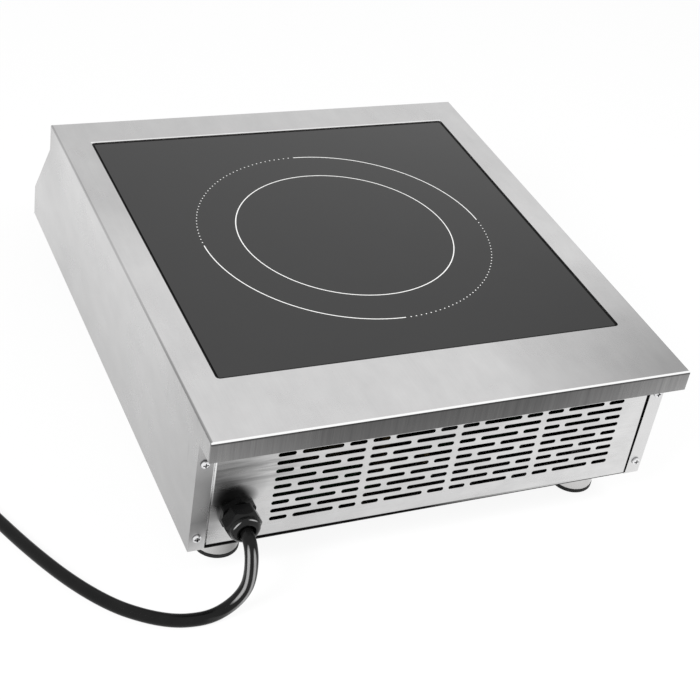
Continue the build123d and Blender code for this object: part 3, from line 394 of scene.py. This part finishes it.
def cover_wall(finish, y, z, clouds, patches):
    """Side walls: painted light upwards and towards the front, painted shade towards the rear, scratched
    at the rear top, and painted shade higher up at their front end.
    """
    soft = finish.total([(clouds, 0.62), (patches, 0.38)])
    wall = finish.shades(soft, (0.555, 0.553, 0.555), (0.645, 0.642, 0.642), 0.36, 0.64)
    # Painted light and shade: lighter upwards and towards the front, darker towards the rear.
    up_tone = finish.between(z, 0.03, 0.13, 0.80, 1.07)
    back_tone = finish.product(
        finish.between(y, 0.20, -0.20, 0.87, 1.08),
        finish.between(y, 0.20, 0.10, 0.88, 1.0),
    )
    wall = finish.scaled(wall, finish.product(up_tone, back_tone))
    scratch = finish.between(finish.noise(1.0, 3.0, (1.0, 170.0, 9.0), 0.6), 0.30, 0.42, 0.66, 1.0)
    scratched = finish.product(finish.between(y, 0.13, 0.15), finish.between(z, 0.085, 0.105))
    wall = finish.mix(scratched, wall, finish.scaled(wall, scratch))
    # Painted light and shade at the front end: lighter low down, darker higher up.
    end_tone = finish.between(z, 0.05, 0.115, 1.10, 0.78)
    return finish.mix(finish.between(y, -0.12, -0.175), wall, finish.scaled(wall, end_tone))


def cover_folds(finish, y, facing_x, facing_y, facing_up):
    """Painted shade along the folds between top and walls, darker to the rear, and a painted highlight
    along the folds between walls and flanges.
    """
    # Painted shade along the top-to-wall folds.
    dark = finish.between(y, 0.05, 0.15, 0.74, 0.50)
    bend = finish.between(finish.product(facing_x, facing_up), 0.12, 0.35)
    fold = finish.math("ADD", 1.0, finish.product(bend, finish.math("SUBTRACT", dark, 1.0)))
    # Painted highlight along the wall-to-flange folds.
    post = finish.between(finish.product(facing_x, facing_y), 0.12, 0.35, 1.0, 1.35)
    return finish.product(fold, post)


def cover_flanges(finish, x, y, z, facing_y, sheet):
    """Rear flanges: painted shade on the one beside the gland, darkest part way up, and painted light on
    the other one.
    """
    flange = finish.product(finish.between(facing_y, 0.7, 0.9), finish.between(y, 0.18, 0.19))
    # Painted shade on the flange beside the gland.
    painted_shade_area = finish.product(finish.between(x, 0.12, 0.14), flange)
    flange_shade_tone = finish.product(
        finish.between(z, 0.052, 0.038, 0.46, 1.0),
        finish.between(z, 0.085, 0.116, 1.0, 1.55),
    )
    sheet = finish.mix(painted_shade_area, sheet, finish.scaled(sheet, flange_shade_tone))
    # Painted light: the other flange lightened towards white.
    light = finish.product(
        finish.between(x, -0.12, -0.14, 0.0, 0.22),
        flange,
        finish.between(y, 0.205, 0.200),
    )
    return finish.mix(light, sheet, WHITE)


def cover_lip(finish, x, z):
    """Rear lip: brushed up and down; its dark tone is painted shade, lighter towards both ends and darkest
    under its fold.
    """
    fine = finish.noise(1.0, 4.0, (2600.0, 9.0, 26.0), 0.8)
    broad = finish.noise(1.0, 3.0, (260.0, 9.0, 9.0), 0.6)
    streaks = finish.total([(fine, 0.55), (broad, 0.45)])
    # Painted shade: the lip's dark tone, under the brushed streaks.
    colour = finish.shades(streaks, (0.088, 0.087, 0.088), (0.143, 0.142, 0.141), 0.34, 0.66)
    # Painted light towards both ends and painted shade just under the fold.
    left = finish.product(
        finish.between(x, -0.045, -0.105, 1.0, 1.467),
        finish.between(x, -0.105, -0.165, 1.0, 1.7),
    )
    right = finish.between(x, 0.085, 0.165, 1.0, 1.85)
    height = finish.product(
        finish.between(z, 0.1178, 0.1300, 1.08, 0.92),
        finish.between(z, 0.1302, 0.1312, 1.0, 0.34),
    )
    return finish.scaled(colour, finish.product(left, right, height))


def cover_steel():
    """Top cover: faint grain front to back, cloudy patches, painted light and shade for each face, and a
    painted highlight along the rear fold.
    """
    finish = Finish("cover_steel", STEEL, 1.0, 0.30)
    x, y, z = (finish.axis(name) for name in "XYZ")
    facing_x, facing_y, facing_up = (finish.size_of(finish.axis(name, "Normal")) for name in "XYZ")
    along = finish.noise(1.0, 5.0, (1100.0, 14.0, 1100.0), 0.75)
    clouds = finish.noise(26.0, 6.0, rough=0.6)
    patches = finish.noise(70.0, 4.0, (1.0, 0.45, 0.8), 0.55)
    tone = finish.total([(along, 0.22), (clouds, 0.40), (patches, 0.38)])
    sheet = finish.shades(tone, (0.58, 0.577, 0.579), (0.675, 0.672, 0.672), 0.34, 0.66)

    up = finish.between(facing_up, 0.6, 0.8)
    top = cover_top(finish, x, y, up, sheet)
    wall = cover_wall(finish, y, z, clouds, patches)
    sheet = finish.mix(finish.between(facing_x, 0.6, 0.8), top, wall)
    sheet = finish.scaled(sheet, cover_folds(finish, y, facing_x, facing_y, facing_up))
    sheet = cover_flanges(finish, x, y, z, facing_y, sheet)
    lip = finish.product(finish.between(y, 0.2120, 0.2122), finish.between(z, 0.1321, 0.1318))
    sheet = finish.mix(lip, sheet, cover_lip(finish, x, z))
    # Painted highlight: white along the rear fold.
    fold_highlight = finish.product(finish.between(y, 0.2124, 0.2126), finish.between(z, 0.1318, 0.1320))
    finish.feed("Base Color", finish.mix(fold_highlight, sheet, WHITE))
    finish.vary_roughness(0.06, clouds)
    finish.bump(finish.product(along, up), 0.06, 0.00003)
    return finish.material


def gland_shade(finish, x, z, sheet):
    """Rear panel round the gland: a painted halo of shade and reflection, darkest just over it, and
    painted dark reflection strokes beside it.
    """
    # Painted shade and reflection of the gland: a dark halo, darkest just over it.
    halo = finish.between(finish.spot(x, z, (0.153, 0.082), (0.022, 0.022)), 0.0, 2.2, 0.36, 1.0)
    core = finish.between(finish.spot(x, z, (0.143, 0.069), (0.014, 0.009)), 0.4, 1.4, 0.22, 1.0)
    # Painted reflection: level dark strokes beside the gland.
    strokes = finish.between(finish.noise(1.0, 4.0, (18.0, 9.0, 260.0), 0.65), 0.38, 0.62, 0.62, 1.05)
    near = finish.product(
        finish.between(x, 0.092, 0.118),
        finish.between(z, 0.072, 0.084),
        finish.between(z, 0.106, 0.098),
    )
    sheet = finish.scaled(sheet, finish.product(halo, core))
    return finish.mix(near, sheet, finish.scaled(sheet, strokes))


def rear_black(finish, x, z, facing_y):
    """Where the rear panel is painted black for shade: on its slot walls, along its foot and in the gap
    beside it.
    """
    slot = finish.product(
        finish.between(facing_y, 0.7, 0.5),
        finish.between(finish.size_of(x), 0.146, 0.142),
    )
    rise = finish.math("SUBTRACT", z, finish.between(x, -0.06, 0.12, 0.0, 0.0009))
    foot = finish.product(finish.between(rise, 0.0316, 0.0311), finish.between(x, -0.13, 0.0))
    taper = finish.math("SUBTRACT", x, finish.between(z, 0.03, 0.11, 0.0, 0.0011))
    gap = finish.between(taper, -0.1566, -0.1569)
    return finish.math("MAXIMUM", finish.math("MAXIMUM", slot, foot), gap)


def rear_steel():
    """Rear panel: grain side to side, soft blotches, painted shade across it and under the lip, a painted
    highlight on the edge by the gland, and painted black shade in its openings.
    """
    finish = Finish("rear_steel", STEEL, 1.0, 0.30)
    x, z = (finish.axis(name) for name in "XZ")
    facing_y = finish.size_of(finish.axis("Y", "Normal"))
    along = finish.noise(1.0, 4.0, (16.0, 900.0, 1400.0), 0.7)
    clouds = finish.noise(38.0, 5.0, rough=0.6)
    smears = finish.noise(90.0, 4.0, (0.35, 1.0, 1.4), 0.6)
    tone = finish.total([(along, 0.25), (clouds, 0.4), (smears, 0.35)])
    sheet = finish.shades(tone, (0.56, 0.558, 0.56), (0.72, 0.718, 0.716), 0.34, 0.66)
    # Painted shade: darker towards +X, and much darker just under the lip.
    sheet = finish.scaled(sheet, finish.between(x, -0.15, 0.15, 1.08, 0.88))
    sheet = finish.scaled(sheet, finish.between(z, 0.104, 0.118, 1.0, 0.45))
    sheet = gland_shade(finish, x, z, sheet)
    # Painted highlight: a bright band on the panel edge beside the gland.
    side = finish.product(finish.between(x, 0.1571, 0.1573), finish.between(z, 0.064, 0.080))
    sheet = finish.mix(side, sheet, (0.86, 0.86, 0.86))
    # Painted shade: black and without gloss on the slot walls, along the foot and in the -X gap.
    black = rear_black(finish, x, z, facing_y)
    finish.feed("Base Color", finish.mix(black, sheet, (0.003, 0.003, 0.003)))
    finish.feed("Metallic", finish.between(black, 0.0, 1.0, 1.0, 0.0))
    finish.feed("Specular IOR Level", finish.between(black, 0.0, 1.0, 0.5, 0.0))
    finish.vary_roughness(0.08, smears)
    finish.bump(along, 0.10, 0.00003)
    return finish.material


def cup_steel():
    """Foot cups: turned sheet with fine rings; the one under the gland has painted shade, darker towards
    -X.
    """
    finish, clouds = brushed("cup_steel", (0.58, 0.575, 0.57), (70.0, 70.0, 900.0), 0.26, 0.05)
    x, y = (finish.axis(name) for name in "XY")
    sheet = finish.shades(clouds, (0.55, 0.546, 0.541), (0.61, 0.604, 0.599))
    # Painted shade on the rear cup beside the gland.
    painted_shade_area = finish.product(finish.between(x, 0.10, 0.11), finish.between(y, 0.14, 0.15))
    shaded = finish.scaled(sheet, finish.between(x, 0.150, 0.132, 1.0, 0.46))
    finish.feed("Base Color", finish.mix(painted_shade_area, sheet, shaded))
    return finish.material


def base_zinc():
    """Base plate: zinc spangle, with the rear edge painted black as the shade under the rear panel."""
    finish = Finish("base_zinc", ZINC, 1.0, 0.38)
    spangle = finish.noise(60.0, 4.0)
    sheet = finish.shades(spangle, (0.46, 0.47, 0.48), (0.57, 0.58, 0.59))
    # Painted shade: the rear edge black and dull, for the shade under the rear panel.
    shade_edge = finish.between(finish.axis("Y"), 0.1935, 0.1937)
    finish.feed("Base Color", finish.mix(shade_edge, sheet, (0.004, 0.004, 0.004)))
    finish.feed("Metallic", finish.between(shade_edge, 0.0, 1.0, 1.0, 0.0))
    finish.feed("Roughness", finish.between(shade_edge, 0.0, 1.0, 0.38, 0.8))
    finish.bump(spangle, 0.15, 0.00003)
    return finish.material


def screw_plating():
    """Screws: bright plating, darkened where the recess and the edge lie in shade."""
    finish = Finish("screw_plating", (0.80, 0.80, 0.81), 1.0, 0.24)
    patches = finish.noise(400.0, 4.0)
    shade = finish.add("ShaderNodeAmbientOcclusion", samples=8)
    shade.inputs["Distance"].default_value = 0.0012
    sheet = finish.shades(patches, (0.74, 0.74, 0.75), (0.86, 0.86, 0.87))
    sheet = finish.scaled(sheet, finish.between(shade.outputs["AO"], 0.45, 0.95, 0.04, 1.0))
    finish.feed("Base Color", sheet)
    finish.vary_roughness(0.06, patches)
    return finish.material


def glass_black():
    """Glass: black body; its gloss falls off a little towards two corners and ends at the side edges."""
    finish = Finish("glass_black", (0.003, 0.003, 0.0032), 0.0, 0.12)
    finish.set("IOR", 1.5)
    x, y = (finish.axis(name) for name in "XY")
    across = finish.between(x, -0.14, 0.14)
    back = finish.between(y, -0.13, 0.15)
    near = finish.product(across, finish.math("SUBTRACT", 1.0, back))
    far = finish.math("SUBTRACT", 1.0, across)
    far = finish.product(far, far, back)
    gloss = finish.product(
        finish.between(near, 0.0, 1.0, 0.50, 0.405),
        finish.between(far, 0.0, 1.0, 1.0, 0.68),
        finish.between(finish.size_of(x), 0.1455, 0.1453),
    )
    finish.feed("Specular IOR Level", gloss)
    finish.vary_colour(0.15, finish.noise(30.0, 3.0))
    finish.vary_roughness(0.03, finish.noise(14.0, 5.0))
    finish.bump(finish.noise(1200.0, 2.0), 0.02, 0.00001)
    return finish.material


def cord_rubber():
    """Sheath: smooth black, with two painted highlight lines down the drop behind the gland."""
    finish = Finish("cord_rubber", (0.004, 0.004, 0.004), 0.0, 0.22)
    facing = [finish.axis(name, "Normal") for name in "XYZ"]
    upright = finish.math("MULTIPLY", finish.product(facing[2], facing[2]), 0.5)
    # Painted highlights: two lines where the normal faces two fixed directions, on the drop only.
    lines = 0.0
    for aim in ((0.711, 0.703), (-0.198, 0.980)):
        along = finish.total([(facing[0], aim[0]), (facing[1], aim[1]), (upright, 1.0)])
        lines = finish.math("MAXIMUM", lines, finish.between(along, 0.965, 0.992))
    drop = finish.product(
        finish.between(finish.axis("Z"), 0.004, 0.016),
        finish.between(finish.axis("X"), 0.170, 0.152),
    )
    black = finish.shades(finish.noise(80.0, 4.0), (0.003, 0.003, 0.003), (0.005, 0.005, 0.005))
    finish.feed("Base Color", finish.mix(finish.product(lines, drop), black, (0.24, 0.24, 0.24)))
    finish.set("Specular IOR Level", 0.16)
    finish.vary_roughness(0.07, finish.noise(240.0, 3.0))
    finish.bump(finish.noise(1500.0, 2.0), 0.08, 0.00004)
    return finish.material


def gland_black():
    """Gland: black nylon, with painted highlights in two short arcs on the dome."""
    finish = Finish("gland_nylon", (0.003, 0.003, 0.0031), 0.0, 0.24)
    facing = [finish.axis(name, "Normal") for name in "XYZ"]
    # Painted highlights: two arcs where the dome's normals face two fixed directions.
    painted_glints = 0.0
    for aim in ((0.760, 0.650), (-0.430, 0.903)):
        outward = finish.total([(facing[0], aim[0]), (facing[2], aim[1])])
        across = finish.total([(facing[0], -aim[1]), (facing[2], aim[0])])
        arc = finish.between(finish.spot(facing[1], across, (0.55, 0.0), (0.16, 0.34)), 1.0, 0.4)
        painted_glints = finish.math("MAXIMUM", painted_glints, finish.product(arc, finish.between(outward, 0.0, 0.2)))
    dome = finish.between(finish.axis("Y"), 0.2135, 0.2140)
    black = finish.shades(finish.noise(150.0, 4.0), (0.0026, 0.0026, 0.0027), (0.0034, 0.0034, 0.0035))
    finish.feed("Base Color", finish.mix(finish.product(painted_glints, dome), black, (0.30, 0.30, 0.30)))
    finish.set("Specular IOR Level", 0.24)
    finish.vary_roughness(0.06, finish.noise(450.0, 3.0))
    finish.bump(finish.noise(900.0, 2.0), 0.25, 0.00003)
    return finish.material


def finishes():
    front, _ = brushed("front_steel", STEEL, (8.0, 900.0, 900.0), 0.30, 0.05)
    plate, _ = brushed("zinc_plate", ZINC, (60.0, 60.0, 60.0), 0.38, 0.10)
    return {
        "cover": cover_steel(),
        "rear": rear_steel(),
        "front": front.material,
        "zinc": plate.material,
        "base": base_zinc(),
        "cup": cup_steel(),
        "glass": glass_black(),
        "cord": cord_rubber(),
        "screw": screw_plating(),
        "silicone": plain("silicone_black", (0.002, 0.002, 0.002), 0.0, 0.6, gloss=0.15),
        "rubber": plain(
            "foot_rubber", (0.009, 0.009, 0.009), 0.0, 0.7, 120.0, 0.2, 1200.0, 0.0001, gloss=0.3
        ),
        "gland": gland_black(),
        "film": plain("fascia_film", (0.02, 0.02, 0.022), 0.0, 0.38, 40.0, 0.1, 1500.0, 0.00003),
        "window": plain("window_red", (0.012, 0.006, 0.006), 0.0, 0.06, 40.0, 0.1, 0, 0, 0.6),
        "button": plain("button_grey", (0.34, 0.35, 0.36), 0.0, 0.42, 90.0, 0.06, 1200.0),
        "knob": plain("knob_black", (0.02, 0.02, 0.021), 0.0, 0.4, 120.0, 0.15, 1100.0, 0.00006),
        "white": plain("print_white", (0.78, 0.78, 0.77), 0.0, 0.5, 300.0, 0.04, 0),
        "turned": plain("turned_alloy", (0.40, 0.40, 0.41), 1.0, 0.3, 300.0, 0.06),
        # Painted shade: brass darkened to stand in for the shade inside the casing.
        "brass": plain("brass", (0.16, 0.12, 0.06), 1.0, 0.3, 200.0, 0.1),
        "pin": plain("nickel_pin", (0.66, 0.62, 0.53), 1.0, 0.22, 200.0, 0.08),
        "nylon": plain("spacer_nylon", (0.16, 0.155, 0.14), 0.0, 0.5, 100.0, 0.06),
        # Painted shade: board darkened to stand in for the shade inside the casing.
        "board": plain("board_green", (0.008, 0.036, 0.015), 0.0, 0.35, 90.0, 0.3, 500.0, 0.0001),
        "black_part": plain("moulded_black", (0.02, 0.02, 0.022), 0.0, 0.5, 150.0, 0.2, 800.0),
        "dipped_part": plain("dipped_dark", (0.035, 0.03, 0.02), 0.0, 0.3, 100.0, 0.12, 300.0, 0.0001),
        "green_part": plain("terminal_green", (0.015, 0.06, 0.025), 0.0, 0.45, 100.0, 0.12),
        "copper": plain("litz_copper", (0.16, 0.06, 0.025), 0.6, 0.35, 1800.0, 0.35, 2500.0, 0.0002),
        "mica": plain("mica_sheet", (0.12, 0.105, 0.08), 0.0, 0.7, 90.0, 0.12, 600.0, 0.0001),
        "carrier": plain("carrier_black", (0.03, 0.03, 0.03), 0.0, 0.6, 90.0, 0.15, 700.0),
        "ferrite": plain("ferrite_grey", (0.04, 0.04, 0.045), 0.2, 0.55, 200.0, 0.2, 900.0),
        "sleeve": plain("wire_sleeve", (0.14, 0.14, 0.13), 0.0, 0.75, 900.0, 0.12, 1800.0, 0.0002),
        "alloy": plain("extruded_alloy", (0.16, 0.16, 0.17), 1.0, 0.35, 120.0, 0.06),
        "core": plain("core_brown", (0.16, 0.06, 0.02), 0.0, 0.4, 200.0, 0.12),
        "plug": plain("plug_black", (0.015, 0.015, 0.016), 0.0, 0.36, 120.0, 0.2, 900.0, 0.00006),
    }


FINISH = finishes()
DRESS = {
    "cover": ["top_cover"],
    "rear": ["rear_panel"],
    "front": ["front_panel"],
    "base": ["base_plate"],
    "zinc": ["foot_bolts"],
    "cup": ["foot_cups"],
    "glass": ["glass_plate"],
    "screw": ["casing_screws", "board_screws", "coil_screws", "fan_screws"],
    "silicone": ["glass_seal", "gland_seal"],
    "rubber": ["foot_pads"],
    "gland": ["gland_body", "gland_nut", "gland_locknut"],
    "film": ["control_fascia"],
    "window": ["display_window"],
    "button": ["power_button", "mode_button", "minus_button", "plus_button"],
    "knob": ["knob"],
    "white": ["knob_pointer"],
    "turned": ["knob_shaft", "potentiometer", "potentiometer_nut"],
    "brass": ["coil_posts", "coil_terminals", "board_standoffs", "earth_stud"],
    "pin": ["plug_pins"],
    "nylon": ["display_standoffs", "temperature_sensor"],
    "board": ["display_board", "power_board", "filter_board"],
    "black_part": [
        "digit_display",
        "button_switches",
        "power_transistors",
        "power_board_parts",
        "left_fan_frame",
        "right_fan_frame",
        "left_fan_rotor",
        "right_fan_rotor",
    ],
    "dipped_part": ["film_capacitors", "filter_board_parts"],
    "green_part": ["terminal_block"],
    "copper": ["induction_coil"],
    "mica": ["insulating_disc"],
    "carrier": ["coil_carrier", "sensor_holder"],
    "ferrite": ["ferrite_bars"],
    "sleeve": ["coil_leads"],
    "alloy": ["heat_sink"],
    "core": ["mains_cores"],
    "cord": ["power_cord", "cord_coil"],
    "plug": ["plug_body"],
}


def dress(obj, finish):
    obj.data.materials.clear()
    obj.data.materials.append(FINISH[finish])


for finish_name, members in DRESS.items():
    for member in members:
        dress(nodes[member], finish_name)
dress(cord, "cord")


# Prints on the glass: two rings, the outer one solid and dotted by quarters
GLASS_TOP = 0.1323
RING_CENTRE = (-0.0002, 0.0092)
INNER_RING = 0.0795
OUTER_RING = 0.10735
LINE_WIDTH = 0.00076
PRINT_RISE = 0.00006
ARC_STEP = 1.5  # degrees
DOT_RADIUS = 0.00047
DOT_PITCH = 0.00393
DOT_SIDES = 10


def mesh_object(name, verts, faces):
    data = bpy.data.meshes.new(name)
    data.from_pydata(verts, [], faces)
    data.update()
    return bpy.data.objects.new(name, data)


def add_print(obj):
    dress(keep(obj), "white")


def add_arc(verts, faces, radius, start, end):
    """Flat strip with a small thickness, from start to end in degrees."""
    steps = int(abs(end - start) / ARC_STEP)
    closed = abs(end - start) >= 360
    count = steps if closed else steps + 1
    base = len(verts)
    for k in range(count):
        angle = radians(start + (end - start) * k / steps)
        for r in (radius - LINE_WIDTH / 2, radius + LINE_WIDTH / 2):
            for z in (GLASS_TOP, GLASS_TOP + PRINT_RISE):
                verts.append((RING_CENTRE[0] + r * cos(angle), RING_CENTRE[1] + r * sin(angle), z))
    for k in range(steps):
        a, b = base + 4 * k, base + 4 * ((k + 1) % count)
        faces += [
            (a + 1, a + 3, b + 3, b + 1),
            (a, b, b + 2, a + 2),
            (a + 2, b + 2, b + 3, a + 3),
            (a, a + 1, b + 1, b),
        ]
    if not closed:
        last = base + 4 * steps
        faces += [(base, base + 2, base + 3, base + 1), (last, last + 1, last + 3, last + 2)]


def add_dot(verts, faces, x, y):
    base = len(verts)
    for z in (GLASS_TOP, GLASS_TOP + PRINT_RISE):
        for k in range(DOT_SIDES):
            angle = 2 * pi * k / DOT_SIDES
            verts.append((x + DOT_RADIUS * cos(angle), y + DOT_RADIUS * sin(angle), z))
    upper = base + DOT_SIDES
    faces.append(tuple(range(upper, upper + DOT_SIDES)))
    faces.append(tuple(range(upper - 1, base - 1, -1)))
    for k in range(DOT_SIDES):
        j = (k + 1) % DOT_SIDES
        faces.append((base + k, base + j, upper + j, upper + k))


def make_rings():
    verts, faces = [], []
    add_arc(verts, faces, INNER_RING, 0, 360)
    add_arc(verts, faces, OUTER_RING, 0, 90)
    add_arc(verts, faces, OUTER_RING, 180, 270)
    dots = int(pi / 2 * OUTER_RING / DOT_PITCH)
    for start in (90, 270):
        for k in range(1, dots):
            angle = radians(start + 90 * k / dots)
            x = RING_CENTRE[0] + OUTER_RING * cos(angle)
            y = RING_CENTRE[1] + OUTER_RING * sin(angle)
            add_dot(verts, faces, x, y)
    add_print(mesh_object("glass_rings", verts, faces))


make_rings()


# Legends on the control slope: u runs along X, v up the slope and w out of it
SLOPE_COS, SLOPE_SIN = 0.591602, 0.806230
SLOPE_PLACE = Matrix(
    (
        (1.0, 0.0, 0.0, 0.0),
        (0.0, SLOPE_COS, -SLOPE_SIN, -0.1921),
        (0.0, SLOPE_SIN, SLOPE_COS, 0.0822),
        (0.0, 0.0, 0.0, 1.0),
    )
)
FILM_TOP = 0.001
TEXT_HALF = 0.00003
KNOB_U = 0.092
LAST_NUMBER = 10
TICK_START, TICK_END, TICK_HALF = 0.0205, 0.0230, 0.0003
NUMBER_RADIUS, NUMBER_SQUASH, NUMBER_SIZE = 0.0262, 0.97, 0.0048
LEGEND_V = 0.0115
LEGENDS = [  # name, words, u, size
    ("minus_mark", "-", 0.014, 0.009),
    ("plus_mark", "+", 0.040, 0.009),
    ("on_mark", "I/O", -0.110, 0.006),
]


def slope_matrix(u, v, w, turn=0.0):
    return SLOPE_PLACE @ Matrix.Translation((u, v, w)) @ Matrix.Rotation(turn, 4, "Z")


def scale_angle(number):
    return radians(230 - 28 * number)


def make_text(name, words, u, v, size):
    data = bpy.data.curves.new(name, "FONT")
    data.body = words
    data.size = size
    data.extrude = TEXT_HALF
    data.align_x = "CENTER"
    data.align_y = "CENTER"
    source = bpy.data.objects.new(name + "_source", data)
    scene.collection.objects.link(source)
    bpy.context.view_layer.update()
    graph = bpy.context.evaluated_depsgraph_get()
    mesh = bpy.data.meshes.new_from_object(source.evaluated_get(graph))
    bpy.data.objects.remove(source)
    mesh.transform(slope_matrix(u, v, FILM_TOP + TEXT_HALF))
    add_print(bpy.data.objects.new(name, mesh))


def make_ticks():
    """Scale lines round the knob, one for each number from 0 to the last."""
    verts, faces = [], []
    corners = (
        (TICK_START, -TICK_HALF),
        (TICK_END, -TICK_HALF),
        (TICK_END, TICK_HALF),
        (TICK_START, TICK_HALF),
    )
    for number in range(LAST_NUMBER + 1):
        place = slope_matrix(KNOB_U, 0.0, FILM_TOP, scale_angle(number))
        base = len(verts)
        for x, y in corners:
            verts.append(place @ Vector((x, y, 0.0)))
            verts.append(place @ Vector((x, y, PRINT_RISE)))
        faces += [
            (base + 1, base + 3, base + 5, base + 7),
            (base, base + 6, base + 4, base + 2),
            (base, base + 2, base + 3, base + 1),
            (base + 2, base + 4, base + 5, base + 3),
            (base + 4, base + 6, base + 7, base + 5),
            (base + 6, base, base + 1, base + 7),
        ]
    add_print(mesh_object("knob_scale", verts, faces))


make_ticks()
for number in range(0, LAST_NUMBER + 1, 2):
    around = scale_angle(number)
    number_u = KNOB_U + NUMBER_RADIUS * cos(around)
    number_v = NUMBER_RADIUS * sin(around) * NUMBER_SQUASH
    make_text(f"scale_{number}", str(number), number_u, number_v, NUMBER_SIZE)
for name, words, u, size in LEGENDS:
    make_text(name, words, u, LEGEND_V, size)


# Floor, background and lamps
FLOOR_HALF = 6.0
FLOOR_GLOW = 0.90  # share of plain white in the floor as the camera and the gloss see it
SKY_LIGHT = 0.62  # strength of the white background as light on the object
LAMP_TARGET = (0.14, 0.21, 0.05)


def make_stage():
    half = FLOOR_HALF
    corners = [(-half, -half, 0), (half, -half, 0), (half, half, 0), (-half, half, 0)]
    floor = mesh_object("floor", corners, [(0, 1, 2, 3)])
    material = bpy.data.materials.new("floor_paper")
    material.use_nodes = True
    tree = material.node_tree
    shader = tree.nodes["Principled BSDF"]
    shader.inputs["Base Color"].default_value = (0.9, 0.9, 0.9, 1.0)
    shader.inputs["Roughness"].default_value = 0.9
    shader.inputs["Specular IOR Level"].default_value = 0.0
    glow = tree.nodes.new("ShaderNodeEmission")
    glow.inputs["Color"].default_value = (*WHITE, 1.0)
    path = tree.nodes.new("ShaderNodeLightPath")
    seen = math_node(tree, "MAXIMUM", path.outputs["Is Camera Ray"], path.outputs["Is Glossy Ray"])
    mix = tree.nodes.new("ShaderNodeMixShader")
    tree.links.new(math_node(tree, "MULTIPLY", seen, FLOOR_GLOW), mix.inputs[0])
    tree.links.new(shader.outputs[0], mix.inputs[1])
    tree.links.new(glow.outputs[0], mix.inputs[2])
    tree.links.new(mix.outputs[0], tree.nodes["Material Output"].inputs["Surface"])
    floor.data.materials.append(material)
    scene.collection.objects.link(floor)


def make_world():
    """White to the camera, to gloss and through glass; weaker as light on the object."""
    world = bpy.data.worlds.new("studio")
    scene.world = world
    world.use_nodes = True
    tree = world.node_tree
    background = tree.nodes["Background"]
    path = tree.nodes.new("ShaderNodeLightPath")
    seen = math_node(tree, "MAXIMUM", path.outputs["Is Camera Ray"], path.outputs["Is Glossy Ray"])
    seen = math_node(tree, "MAXIMUM", seen, path.outputs["Is Transmission Ray"])
    strength = tree.nodes.new("ShaderNodeMapRange")
    strength.inputs["To Min"].default_value = SKY_LIGHT
    strength.inputs["To Max"].default_value = 1.0
    tree.links.new(seen, strength.inputs["Value"])
    tree.links.new(strength.outputs[0], background.inputs["Strength"])
    background.inputs["Color"].default_value = (*WHITE, 1.0)


def make_lamp(name, place, size, power):
    """Soft lamp, hidden from reflections so that its image doesn't burn out in the steel and the glass."""
    data = bpy.data.lights.new(name, "AREA")
    data.shape = "RECTANGLE"
    data.size = size[0]
    data.size_y = size[1]
    data.energy = power
    lamp = bpy.data.objects.new(name, data)
    lamp.location = place
    aim = Vector(LAMP_TARGET) - Vector(place)
    lamp.rotation_euler = aim.to_track_quat("-Z", "Y").to_euler()
    lamp.visible_glossy = False
    scene.collection.objects.link(lamp)


make_stage()
make_world()
make_lamp("key", (1.06, 0.66, 0.98), (0.5, 0.5), 18.0)
make_lamp("fill", (-0.77, 0.49, 1.08), (0.3, 0.6), 9.0)
scene.view_settings.view_transform = "Standard"
